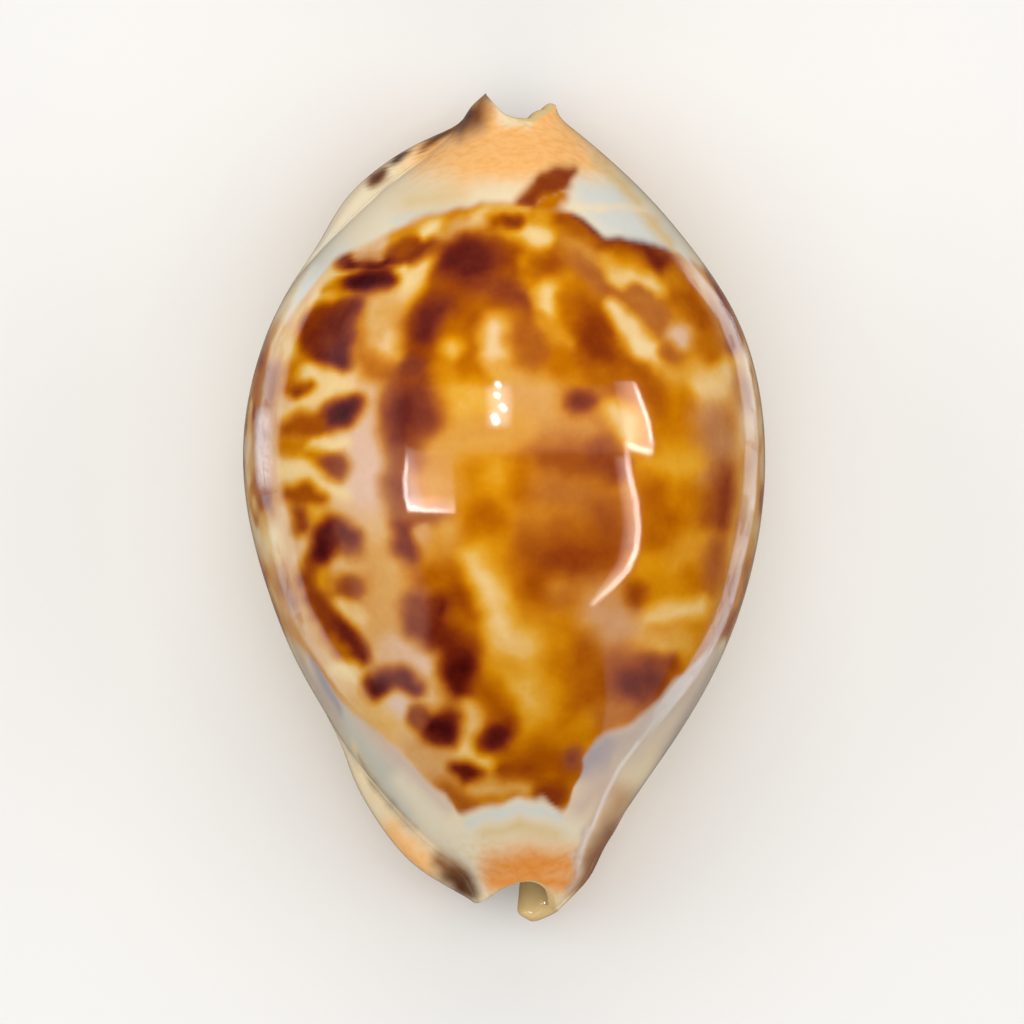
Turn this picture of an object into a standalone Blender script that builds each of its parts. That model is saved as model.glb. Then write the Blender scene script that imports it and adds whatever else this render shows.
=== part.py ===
# Zoila jeaniana cowrie shell, lying on its base with the posterior end towards +Y.
#
# The shell is one wall. It starts at the labral lip on the left of the aperture, runs round the
# margin and over the dorsum, and ends at the columellar lip on the right. Each point of it has two
# coordinates:
#   s  from -1 (edge of the labral lip) through 0 (top of the dorsum) to 1 (edge of the columellar lip)
#   y  the distance along the shell, in millimetres
# The outer and the inner face are functions of s and y, and both ends are trimmed along the rims of
# the canals.

import math

import bmesh
import bpy
import numpy as np

SHELL_LENGTH = 80.0
DESIGN_LENGTH = 80.0
METRES = 0.001 * SHELL_LENGTH / DESIGN_LENGTH

# Dorsum as seen from above: (y, x) of its left and right edge, from the posterior to the anterior end.
LEFT_EDGE = (
    (40.0, -1.8), (38.7, -3.2), (37.6, -3.9), (36.6, -4.6), (33.4, -8.5), (30.2, -12.5),
    (26.3, -16.3), (21.0, -20.6), (15.0, -23.4), (7.0, -25.0), (0.0, -24.7), (-8.0, -22.7),
    (-16.0, -19.4), (-20.0, -17.1), (-23.0, -15.3), (-29.8, -10.2), (-33.0, -7.0), (-35.6, -4.0),
    (-38.2, -2.7), (-40.0, -1.7),
)
RIGHT_EDGE = (
    (40.0, 4.7), (38.9, 5.0), (37.8, 5.4), (36.4, 6.9), (33.4, 10.4), (30.5, 13.4), (25.6, 17.6),
    (19.0, 22.0), (12.0, 24.4), (5.0, 25.1), (-2.0, 24.6), (-9.0, 23.0), (-16.0, 20.2),
    (-23.4, 15.8), (-27.2, 13.2), (-30.0, 11.3), (-33.0, 9.3), (-36.2, 7.6), (-38.9, 5.0),
    (-40.0, 4.0),
)
# Side profile: (y, z) of the top of the dorsum and of the widest level.
CREST = (
    (40.0, 10.0), (37.0, 13.6), (33.5, 20.0), (28.0, 28.4), (21.0, 35.6), (13.0, 39.9), (5.0, 41.2),
    (-3.0, 40.6), (-11.0, 37.8), (-19.0, 32.4), (-26.0, 25.6), (-32.0, 18.4), (-36.0, 13.4),
    (-40.0, 10.0),
)
WIDEST = (
    (40.0, 7.6), (36.0, 8.2), (28.0, 11.2), (16.0, 13.6), (4.0, 14.4), (-10.0, 13.6), (-24.0, 10.8),
    (-35.0, 8.0), (-40.0, 7.2),
)

# Labral callus: (y, mm) that it stands out past the dorsum, and (y, degrees) from the top to its
# crease. Below the margin both calluses fade out into the base.
CALLUS_SIZE = (
    (40.0, 0.0), (37.6, 0.0), (36.8, 0.5), (35.8, 1.8), (33.4, 3.0), (29.0, 2.3), (25.0, 1.0),
    (20.0, 0.4), (12.0, 0.2), (-12.0, 0.2), (-21.0, 0.4), (-23.0, 0.7), (-26.0, 1.7), (-30.0, 2.7),
    (-33.0, 3.5), (-35.4, 3.7), (-37.2, 1.7), (-38.4, 0.2), (-40.0, 0.0),
)
CREASE = (
    (40.0, 84.0), (30.0, 82.0), (24.0, 90.0), (16.0, 100.0), (-16.0, 100.0), (-24.0, 92.0),
    (-30.0, 84.0), (-40.0, 80.0),
)
CREASE_TO_FULL = 24.0
RIGHT_CALLUS_SIZE = 0.45
RIGHT_CALLUS_START = -29.0
RIGHT_CALLUS_RUN = 3.0
RIGHT_CREASE = 80.0
CALLUS_FADE_FROM = 125.0
CALLUS_FADE = 50.0

# Base: each lip has a strip that is worn flat on the floor plane, so the shell rests on it. The strip
# lies between two shares of the way from the lip's edge to the margin.
STRIP_INNER = 0.30
STRIP_OUTER = 0.52
BASE_DIP = 0.2
BASE_FLAT_HALF_LENGTH = 20.0
BASE_END_RISE = 0.0125
BASE_END_RISE_FROM = 22.0
LIP_RISE = 1.4

# Aperture: (y, x) of its middle and (y, mm) half its width.
APERTURE_MIDDLE = (
    (40.0, 1.4), (34.0, 0.8), (24.0, -0.9), (10.0, -2.2), (-8.0, -2.4), (-22.0, -1.8),
    (-32.0, -0.8), (-40.0, -0.2),
)
APERTURE_HALF = (
    (40.0, 1.3), (34.0, 1.6), (24.0, 1.9), (10.0, 2.3), (-8.0, 2.8), (-20.0, 3.2), (-29.0, 3.2),
    (-35.0, 2.2), (-40.0, 1.4),
)

# Wall: (y, mm) thickness at the dorsum and the margins, and of the two lips, whose edges are rounded.
WALL = ((40.0, 1.1), (36.0, 1.6), (24.0, 2.5), (0.0, 2.4), (-24.0, 2.5), (-36.0, 1.6), (-40.0, 1.1))
INNER_BOTTOM = 0.45
LIP = (
    (40.0, 1.9), (34.0, 3.0), (24.0, 5.4), (6.0, 6.2), (-10.0, 6.0), (-24.0, 5.0), (-34.0, 3.0),
    (-40.0, 1.9),
)
LIP_ROUNDING = 0.45

# Teeth across both lips, and (y, share) of the columellar ones' height.
TOOTH_PITCH = 2.8
TOOTH_COUNT = 23
TOOTH_HEIGHT = 0.9
TOOTH_ROW_FADE = 1.4
COLUMELLAR_STRENGTH = (
    (36.0, 0.55), (24.0, 0.6), (10.0, 0.3), (-6.0, 0.25), (-18.0, 0.7), (-30.0, 0.9), (-38.0, 0.7),
)

# Rims of the canals: (s, y) of the outer edge, and (s, mm) that the inner edge is set back from it.
POSTERIOR_RIM = (
    (-1.0, 37.8), (-0.8, 38.5), (-0.65, 39.3), (-0.5, 40.0), (-0.35, 39.8), (-0.22, 39.3),
    (-0.13, 38.6), (-0.06, 37.8), (0.02, 37.25), (0.12, 37.0), (0.21, 37.5), (0.35, 38.2),
    (0.48, 38.85), (0.65, 38.4), (0.8, 37.8), (1.0, 37.4),
)
POSTERIOR_SETBACK = (
    (-1.0, 0.4), (-0.5, 1.7), (-0.1, 0.7), (0.02, 0.1), (0.18, -0.5), (0.3, -0.3), (0.45, 0.1),
    (0.6, 0.5), (1.0, 0.4),
)
ANTERIOR_RIM = (
    (-1.0, -37.4), (-0.8, -37.9), (-0.65, -38.1), (-0.5, -38.3), (-0.36, -38.2), (-0.27, -37.8),
    (-0.17, -37.0), (-0.06, -36.2), (0.03, -35.9), (0.12, -36.4), (0.21, -37.3), (0.35, -38.4),
    (0.5, -39.0), (0.65, -39.7), (0.8, -40.0), (0.9, -39.7), (1.0, -38.9),
)
ANTERIOR_SETBACK = (
    (-1.0, 0.4), (-0.5, 1.5), (-0.1, 0.6), (0.1, 0.2), (0.4, 0.4), (0.8, 0.3), (1.0, 0.3),
)
RIM_ZONE = 33.0
RIM_STEPS = (0.3, 0.6, 0.85, 1.0)
RIM_BULGE = 0.3

# Sampling: the number of steps along each stretch of the section, for one side.
MARGIN_S = 0.5
BASE_S = 0.8
STRIP_S = 0.83
LIP_S = 0.9
DOME_STEPS = 9
UNDER_STEPS = 5
STRIP_STEPS = 1
SLOPE_STEPS = 2
LIP_STEPS = 3

SHELL_COLOUR = (0.62, 0.34, 0.12, 1.0)
SHELL_ROUGHNESS = 0.12
SHARP_ANGLE = 50.0


def clear_scene():
    for obj in list(bpy.data.objects):
        bpy.data.objects.remove(obj, do_unlink=True)


def spline(points, at):
    """Natural cubic spline through the points, read at the values given."""
    knots = np.array(sorted(points), dtype=float)
    x, y = knots[:, 0], knots[:, 1]
    h = np.diff(x)
    system = np.eye(len(x))
    right = np.zeros(len(x))
    for i in range(1, len(x) - 1):
        system[i, i - 1:i + 2] = h[i - 1], 2.0 * (h[i - 1] + h[i]), h[i]
        right[i] = 6.0 * ((y[i + 1] - y[i]) / h[i] - (y[i] - y[i - 1]) / h[i - 1])
    bend = np.linalg.solve(system, right)
    at = np.clip(np.asarray(at, dtype=float), x[0], x[-1])
    k = np.clip(np.searchsorted(x, at) - 1, 0, len(h) - 1)
    a = (x[k + 1] - at) / h[k]
    b = 1.0 - a
    curve = ((a ** 3 - a) * bend[k] + (b ** 3 - b) * bend[k + 1]) * h[k] ** 2 / 6.0
    return a * y[k] + b * y[k + 1] + curve


def smooth(t):
    t = np.clip(t, 0.0, 1.0)
    return t * t * (3.0 - 2.0 * t)


def base_height(y):
    dip = BASE_DIP * ((y / BASE_FLAT_HALF_LENGTH) ** 2 - 1.0)
    return dip + BASE_END_RISE * np.maximum(np.abs(y) - BASE_END_RISE_FROM, 0.0) ** 2


def measures(side, y):
    """The section's named widths and heights at y, for the left (-1) or the right (1) side."""
    left = spline(LEFT_EDGE, y)
    right = spline(RIGHT_EDGE, y)
    centre = (left + right) / 2.0
    half = (right - left) / 2.0
    lip = spline(LIP, y)
    edge = side * (spline(APERTURE_MIDDLE, y) - centre) + spline(APERTURE_HALF, y)
    nose = LIP_ROUNDING * lip
    return centre, half, spline(CREST, y), spline(WIDEST, y), base_height(y), lip, edge, nose


def callus(side, turn, y):
    """How far the callus stands out at an angle of turn degrees from the top of the dorsum."""
    if side < 0:
        size = spline(CALLUS_SIZE, y)
        crease = spline(CREASE, y)
    else:
        size = RIGHT_CALLUS_SIZE * smooth((RIGHT_CALLUS_START - y) / RIGHT_CALLUS_RUN)
        crease = RIGHT_CREASE
    rise = np.clip((turn - crease) / CREASE_TO_FULL, 0.0, 1.0)
    fade = 1.0 - smooth((turn - CALLUS_FADE_FROM) / CALLUS_FADE)
    return np.maximum(size, 0.0) * np.sqrt(1.0 - (1.0 - rise) ** 2) * fade


def tooth(side, y):
    """The teeth's height at y, from the bottom of a gap (0) to a crest (1), times their strength."""
    reach = TOOTH_PITCH * TOOTH_COUNT / 2.0
    wave = 0.5 + 0.5 * np.cos(2.0 * math.pi * y / TOOTH_PITCH)
    strength = smooth(0.5 + (reach - np.abs(y)) / TOOTH_ROW_FADE)
    if side > 0:
        strength = strength * spline(COLUMELLAR_STRENGTH, y)
    return TOOTH_HEIGHT * strength * (wave - 0.5)


def side_face(side, s, y, inside):
    """Points of one half of the section, with s from 0 at the top to 1 at the edge of the lip."""
    centre, half, crest, widest, base, lip, edge, nose = measures(side, y)
    wall = spline(WALL, y) if inside else 0.0
    half = half - wall
    floor = base + LIP_RISE + lip if inside else base
    rise = 0.0 if inside else LIP_RISE
    middle = base + LIP_RISE + lip / 2.0
    span = half - edge - nose
    bottom = edge + nose + (INNER_BOTTOM if inside else STRIP_OUTER) * span
    strip = edge + nose + (INNER_BOTTOM if inside else STRIP_INNER) * span

    turn = 90.0 * np.clip(s / MARGIN_S, 0.0, 1.0)
    turn = turn + 90.0 * np.clip((s - MARGIN_S) / (BASE_S - MARGIN_S), 0.0, 1.0)
    angle = np.radians(turn)
    dome_x = half * np.sin(angle)
    dome_z = widest + (crest - wall - widest) * np.cos(angle)
    under_x = bottom + (half - bottom) * np.sin(angle)
    under_z = widest + (widest - floor) * np.cos(angle)
    x = np.where(turn <= 90.0, dome_x, under_x)
    z = np.where(turn <= 90.0, dome_z, under_z)
    if not inside:
        bump = callus(side, turn, y)
        x = x + bump * np.sin(angle)
        z = z + bump * np.cos(angle)

    flat = np.clip((s - BASE_S) / (STRIP_S - BASE_S), 0.0, 1.0)
    slope = np.clip((s - STRIP_S) / (LIP_S - STRIP_S), 0.0, 1.0)
    x = x + (strip - bottom) * flat + (edge + nose - strip) * slope
    z = z + rise * smooth(slope)

    round_lip = np.radians(90.0 * np.clip((s - LIP_S) / (1.0 - LIP_S), 0.0, 1.0))
    lip_x = edge + nose * (1.0 - np.sin(round_lip))
    lip_z = middle + (1.0 if inside else -1.0) * lip / 2.0 * np.cos(round_lip)
    on_lip = s > LIP_S
    x = np.where(on_lip, lip_x, x)
    z = np.where(on_lip, lip_z, z)

    tooth_start = LIP_S if inside else STRIP_S + 0.5 * (LIP_S - STRIP_S)
    tooth_full = 1.0 if inside else LIP_S
    reach = smooth((s - tooth_start) / (tooth_full - tooth_start))
    height = tooth(side, y) * reach
    x = x - height * np.where(on_lip, np.sin(round_lip), 0.0)
    z = z - height * np.where(on_lip, np.cos(round_lip), 1.0) * (0.0 if inside else 1.0)
    return centre + side * x, z


def face_points(s, y, inside):
    """Outer or inner face at s from -1 to 1 and y, as x, y, z columns."""
    left_x, left_z = side_face(-1.0, np.abs(s), y, inside)
    right_x, right_z = side_face(1.0, np.abs(s), y, inside)
    x = np.where(s < 0.0, left_x, right_x)
    z = np.where(s < 0.0, left_z, right_z)
    return np.stack([x, y, np.maximum(z, 0.0)], axis=-1)


def section_steps():
    """Values of s from the labral lip to the columellar lip."""
    half = [MARGIN_S * i / DOME_STEPS for i in range(DOME_STEPS)]
    half += [MARGIN_S + (BASE_S - MARGIN_S) * i / UNDER_STEPS for i in range(UNDER_STEPS)]
    half += [BASE_S + (STRIP_S - BASE_S) * i / STRIP_STEPS for i in range(STRIP_STEPS)]
    half += [STRIP_S + (LIP_S - STRIP_S) * i / SLOPE_STEPS for i in range(SLOPE_STEPS)]
    half += [LIP_S + (1.0 - LIP_S) * i / LIP_STEPS for i in range(LIP_STEPS + 1)]
    return np.array([-s for s in reversed(half)] + half[1:])


def station_rows(s, inside):
    """The y of every station at each s: straight between the canals, then leaning to the rims."""
    posterior = spline(POSTERIOR_RIM, s)
    anterior = spline(ANTERIOR_RIM, s)
    if inside:
        posterior = posterior - spline(POSTERIOR_SETBACK, s)
        anterior = anterior + spline(ANTERIOR_SETBACK, s)
    half_pitch = TOOTH_PITCH / 2.0
    steps = int(round(RIM_ZONE / half_pitch))
    rows = [np.full_like(s, i * half_pitch) for i in range(-steps, steps + 1)]
    low, high = rows[0], rows[-1]
    before = [low + (anterior - low) * k for k in reversed(RIM_STEPS)]
    after = [high + (posterior - high) * k for k in RIM_STEPS]
    return before + rows + after


def build_shell():
    s = section_steps()
    outer = [face_points(s, y, False) for y in station_rows(s, False)]
    inner = [face_points(s, y, True) for y in station_rows(s, True)]
    last = len(s) - 1

    mesh = bmesh.new()

    def add(point):
        return mesh.verts.new([float(value) * METRES for value in point])

    rings = []
    for outer_row, inner_row in zip(outer, inner):
        ring = [add(point) for point in outer_row]
        ring += [add(point) for point in inner_row[last - 1:0:-1]]
        rings.append(ring)
    size = len(rings[0])
    for low, high in zip(rings, rings[1:]):
        for i in range(size):
            j = (i + 1) % size
            mesh.faces.new((low[i], low[j], high[j], high[i]))

    for end, outwards in ((0, -1.0), (-1, 1.0)):
        ring, outer_row, inner_row = rings[end], outer[end], inner[end]
        crown = {}
        for i in range(1, last):
            middle = (outer_row[i] + inner_row[i]) / 2.0
            crown[i] = add(middle + np.array([0.0, outwards * RIM_BULGE, 0.0]))
        crown[0], crown[last] = ring[0], ring[last]
        for i in range(last):
            outside = (ring[i], ring[i + 1], crown[i + 1], crown[i])
            inside = (crown[i], crown[i + 1], ring[(size - i - 1) % size], ring[(size - i) % size])
            for corners in (outside, inside):
                face = []
                for corner in corners:
                    if corner not in face:
                        face.append(corner)
                if len(face) > 2:
                    mesh.faces.new(face if outwards > 0.0 else reversed(face))

    bmesh.ops.recalc_face_normals(mesh, faces=mesh.faces)
    if mesh.calc_volume(signed=True) < 0.0:
        bmesh.ops.reverse_faces(mesh, faces=mesh.faces)
    data = bpy.data.meshes.new("shell")
    mesh.to_mesh(data)
    mesh.free()
    shell = bpy.data.objects.new("shell", data)
    bpy.context.scene.collection.objects.link(shell)
    data.shade_smooth()
    data.set_sharp_from_angle(angle=math.radians(SHARP_ANGLE))
    return shell


def shell_material():
    material = bpy.data.materials.new("glossy shell")
    material.use_nodes = True
    surface = material.node_tree.nodes["Principled BSDF"]
    surface.inputs["Base Color"].default_value = SHELL_COLOUR
    surface.inputs["Roughness"].default_value = SHELL_ROUGHNESS
    surface.inputs["Metallic"].default_value = 0.0
    material.diffuse_color = SHELL_COLOUR
    return material


clear_scene()
shell = build_shell()
shell.data.materials.append(shell_material())
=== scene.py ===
# Looks of the Zoila jeaniana cowrie: a fine shell mesh, its mantle pattern, its gloss, and a small studio.
#
# The shell's surface is the one that the solid model has, sampled finely. Each point of the wall has two
# coordinates: s across the wall (-1 labral lip, 0 top of the dorsum, 1 columellar lip), and y along it.
# The pattern is laid on as soft strokes, whose places were read off the photograph in its own
# 1024 x 1024 pixels. The material turns the strokes' depths into pigment colours. The bright shapes that
# the gloss mirrors are cards, which only mirror rays see.

import math

import bpy
import numpy as np
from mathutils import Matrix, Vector, kdtree


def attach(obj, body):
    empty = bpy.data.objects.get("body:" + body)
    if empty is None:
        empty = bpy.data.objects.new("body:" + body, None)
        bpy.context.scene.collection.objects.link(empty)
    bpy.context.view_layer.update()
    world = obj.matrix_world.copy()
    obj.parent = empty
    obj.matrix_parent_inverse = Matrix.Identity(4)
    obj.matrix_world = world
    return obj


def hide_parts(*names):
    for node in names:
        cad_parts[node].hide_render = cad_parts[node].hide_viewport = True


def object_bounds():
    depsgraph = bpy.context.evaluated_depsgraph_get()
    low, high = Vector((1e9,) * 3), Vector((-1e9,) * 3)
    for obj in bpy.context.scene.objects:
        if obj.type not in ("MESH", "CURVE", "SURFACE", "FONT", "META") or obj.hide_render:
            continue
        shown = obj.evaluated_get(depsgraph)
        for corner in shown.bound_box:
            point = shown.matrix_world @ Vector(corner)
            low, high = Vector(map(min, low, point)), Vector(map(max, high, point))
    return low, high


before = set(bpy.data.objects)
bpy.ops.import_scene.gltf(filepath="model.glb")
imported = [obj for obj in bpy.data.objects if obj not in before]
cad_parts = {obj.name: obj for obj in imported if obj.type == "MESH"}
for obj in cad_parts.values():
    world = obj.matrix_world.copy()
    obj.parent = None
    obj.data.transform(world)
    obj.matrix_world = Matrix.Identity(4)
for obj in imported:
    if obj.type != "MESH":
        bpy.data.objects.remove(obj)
CAD_LOW, CAD_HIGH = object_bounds()

MM = 0.001

# Dorsum as seen from above: (y, x) of its left and right edge, from the posterior end to the anterior end.
LEFT_EDGE = (
    (40.0, -1.8), (38.7, -3.2), (37.6, -3.9), (36.6, -4.6), (33.4, -8.5), (30.2, -12.5), (26.3, -16.3),
    (21.0, -20.6), (15.0, -23.4), (7.0, -25.0), (0.0, -24.7), (-8.0, -22.7), (-16.0, -19.4), (-20.0, -17.1),
    (-23.0, -15.3), (-29.8, -10.2), (-33.0, -7.0), (-35.6, -4.0), (-38.2, -2.7), (-40.0, -1.7),
)
RIGHT_EDGE = (
    (40.0, 4.7), (38.9, 5.0), (37.8, 5.4), (36.4, 6.9), (33.4, 10.4), (30.5, 13.4), (25.6, 17.6),
    (19.0, 22.0), (12.0, 24.4), (5.0, 25.1), (-2.0, 24.6), (-9.0, 23.0), (-16.0, 20.2), (-23.4, 15.8),
    (-27.2, 13.2), (-30.0, 11.3), (-33.0, 9.3), (-36.2, 7.6), (-38.9, 5.0), (-40.0, 4.0),
)
# Side profile: (y, z) of the top of the dorsum and of the widest level.
CREST = (
    (40.0, 10.0), (37.0, 13.6), (33.5, 20.0), (28.0, 28.4), (21.0, 35.6), (13.0, 39.9), (5.0, 41.2),
    (-3.0, 40.6), (-11.0, 37.8), (-19.0, 32.4), (-26.0, 25.6), (-32.0, 18.4), (-36.0, 13.4), (-40.0, 10.0),
)
WIDEST = (
    (40.0, 7.6), (36.0, 8.2), (28.0, 11.2), (16.0, 13.6), (4.0, 14.4), (-10.0, 13.6), (-24.0, 10.8),
    (-35.0, 8.0), (-40.0, 7.2),
)
# Labral callus: (y, mm) that it stands out past the dorsum, and (y, degrees) from the top to its crease.
CALLUS_SIZE = (
    (40.0, 0.0), (37.6, 0.0), (36.8, 0.5), (35.8, 1.8), (33.4, 3.0), (29.0, 2.3), (25.0, 1.0), (20.0, 0.4),
    (12.0, 0.2), (-12.0, 0.2), (-21.0, 0.4), (-23.0, 0.7), (-26.0, 1.7), (-30.0, 2.7), (-33.0, 3.5),
    (-35.4, 3.7), (-37.2, 1.7), (-38.4, 0.2), (-40.0, 0.0),
)
CREASE = (
    (40.0, 84.0), (30.0, 82.0), (24.0, 90.0), (16.0, 100.0), (-16.0, 100.0), (-24.0, 92.0), (-30.0, 84.0),
    (-40.0, 80.0),
)
CREASE_TO_FULL = 24.0
RIGHT_CREASE = 80.0
RIGHT_CALLUS_SIZE = 0.45
RIGHT_CALLUS_START = -29.0
RIGHT_CALLUS_RUN = 3.0
CALLUS_FADE_FROM = 125.0
CALLUS_FADE = 50.0

# Base: the flat strips that it rests on, as shares of the way from the lip's edge to the margin.
STRIP_INNER = 0.30
STRIP_OUTER = 0.52
BASE_DIP = 0.2
BASE_FLAT_HALF_LENGTH = 20.0
BASE_END_RISE = 0.0125
BASE_END_RISE_FROM = 22.0
LIP_RISE = 1.4

# Aperture: (y, x) of its middle and (y, mm) half its width.
APERTURE_MIDDLE = (
    (40.0, 1.4), (34.0, 0.8), (24.0, -0.9), (10.0, -2.2), (-8.0, -2.4), (-22.0, -1.8), (-32.0, -0.8),
    (-40.0, -0.2),
)
APERTURE_HALF = (
    (40.0, 1.3), (34.0, 1.6), (24.0, 1.9), (10.0, 2.3), (-8.0, 2.8), (-20.0, 3.2), (-29.0, 3.2),
    (-35.0, 2.2), (-40.0, 1.4),
)
# Wall: (y, mm) thickness at the dorsum and the margins, and of the two lips.
WALL = ((40.0, 1.1), (36.0, 1.6), (24.0, 2.5), (0.0, 2.4), (-24.0, 2.5), (-36.0, 1.6), (-40.0, 1.1))
INNER_BOTTOM = 0.45
LIP = (
    (40.0, 1.9), (34.0, 3.0), (24.0, 5.4), (6.0, 6.2), (-10.0, 6.0), (-24.0, 5.0), (-34.0, 3.0),
    (-40.0, 1.9),
)
LIP_ROUNDING = 0.45
# Teeth across both lips.
TOOTH_PITCH = 2.8
TOOTH_COUNT = 23
TOOTH_HEIGHT = 0.9
TOOTH_ROW_FADE = 1.4
COLUMELLAR_STRENGTH = (
    (36.0, 0.55), (24.0, 0.6), (10.0, 0.3), (-6.0, 0.25), (-18.0, 0.7), (-30.0, 0.9), (-38.0, 0.7),
)
# Rims of the canals: (s, y) of the outer edge, and (s, mm) that the inner edge is set back from it.
POSTERIOR_RIM = (
    (-1.0, 37.8), (-0.8, 38.5), (-0.65, 39.3), (-0.5, 40.0), (-0.35, 39.8), (-0.22, 39.3), (-0.13, 38.6),
    (-0.06, 37.8), (0.02, 37.25), (0.12, 37.0), (0.21, 37.5), (0.35, 38.2), (0.48, 38.85), (0.65, 38.4),
    (0.8, 37.8), (1.0, 37.4),
)
POSTERIOR_SETBACK = (
    (-1.0, 0.4), (-0.5, 1.7), (-0.1, 0.7), (0.02, 0.1), (0.18, -0.5), (0.3, -0.3), (0.45, 0.1), (0.6, 0.5),
    (1.0, 0.4),
)
ANTERIOR_RIM = (
    (-1.0, -37.4), (-0.8, -37.9), (-0.65, -38.1), (-0.5, -38.3), (-0.36, -38.2), (-0.27, -37.8),
    (-0.17, -37.0), (-0.06, -36.2), (0.03, -35.9), (0.12, -36.4), (0.21, -37.3), (0.35, -38.4), (0.5, -39.0),
    (0.65, -39.7), (0.8, -40.0), (0.9, -39.7), (1.0, -38.9),
)
ANTERIOR_SETBACK = (
    (-1.0, 0.4), (-0.5, 1.5), (-0.1, 0.6), (0.1, 0.2), (0.4, 0.4), (0.8, 0.3), (1.0, 0.3),
)
RIM_ZONE = 33.0
RIM_BULGE = 0.3

# Sampling of the fine mesh: steps along each stretch of the section, for one side, and along the shell.
MARGIN_S = 0.5
BASE_S = 0.8
STRIP_S = 0.83
LIP_S = 0.9
DOME_STEPS = 120
UNDER_STEPS = 28
STRIP_STEPS = 4
SLOPE_STEPS = 10
LIP_STEPS = 8
STRAIGHT_ROWS = 200
RIM_ROWS = 17
INNER_STRIDE = 8
CAP_STEPS = (0.14, 0.32, 0.5, 0.68, 0.86)


def spline(points, at):
    """Natural cubic spline through the points, read at the values given."""
    knots = np.array(sorted(points), dtype=float)
    x, y = knots[:, 0], knots[:, 1]
    h = np.diff(x)
    system = np.eye(len(x))
    right = np.zeros(len(x))
    for i in range(1, len(x) - 1):
        system[i, i - 1:i + 2] = h[i - 1], 2.0 * (h[i - 1] + h[i]), h[i]
        right[i] = 6.0 * ((y[i + 1] - y[i]) / h[i] - (y[i] - y[i - 1]) / h[i - 1])
    bend = np.linalg.solve(system, right)
    at = np.clip(np.asarray(at, dtype=float), x[0], x[-1])
    k = np.clip(np.searchsorted(x, at) - 1, 0, len(h) - 1)
    a = (x[k + 1] - at) / h[k]
    b = 1.0 - a
    curve = ((a ** 3 - a) * bend[k] + (b ** 3 - b) * bend[k + 1]) * h[k] ** 2 / 6.0
    return a * y[k] + b * y[k + 1] + curve


def smooth(t):
    t = np.clip(t, 0.0, 1.0)
    return t * t * (3.0 - 2.0 * t)


def step(value, start, run):
    """Soft step from 0 at the start up to 1, which it reaches a run past the start."""
    return smooth((value - start) / run)


def fall(value, end, run):
    """Soft step from 1, which it leaves a run before the end, down to 0 at the end."""
    return smooth((end - value) / run)


def turn_of(s):
    """Degrees round the section: 0 at the top of the dorsum, 90 at the widest level, 180 at the base."""
    s = np.abs(s)
    dome = np.clip(s / MARGIN_S, 0.0, 1.0)
    below = np.clip((s - MARGIN_S) / (BASE_S - MARGIN_S), 0.0, 1.0)
    return 90.0 * dome + 90.0 * below


def base_height(y):
    dip = BASE_DIP * ((y / BASE_FLAT_HALF_LENGTH) ** 2 - 1.0)
    return dip + BASE_END_RISE * np.maximum(np.abs(y) - BASE_END_RISE_FROM, 0.0) ** 2


def callus(side, turn, y):
    """How far the callus stands out at an angle of turn degrees from the top of the dorsum."""
    if side < 0:
        size = spline(CALLUS_SIZE, y)
        crease = spline(CREASE, y)
    else:
        size = RIGHT_CALLUS_SIZE * fall(y, RIGHT_CALLUS_START, RIGHT_CALLUS_RUN)
        crease = RIGHT_CREASE
    rise = np.clip((turn - crease) / CREASE_TO_FULL, 0.0, 1.0)
    fade = 1.0 - step(turn, CALLUS_FADE_FROM, CALLUS_FADE)
    return np.maximum(size, 0.0) * np.sqrt(1.0 - (1.0 - rise) ** 2) * fade


def tooth(side, y):
    """The teeth's height at y, from the bottom of a gap to a crest, times their strength."""
    reach = TOOTH_PITCH * TOOTH_COUNT / 2.0
    wave = 0.5 + 0.5 * np.cos(2.0 * math.pi * y / TOOTH_PITCH)
    strength = smooth(0.5 + (reach - np.abs(y)) / TOOTH_ROW_FADE)
    if side > 0:
        strength = strength * spline(COLUMELLAR_STRENGTH, y)
    return TOOTH_HEIGHT * strength * (wave - 0.5)


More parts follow.
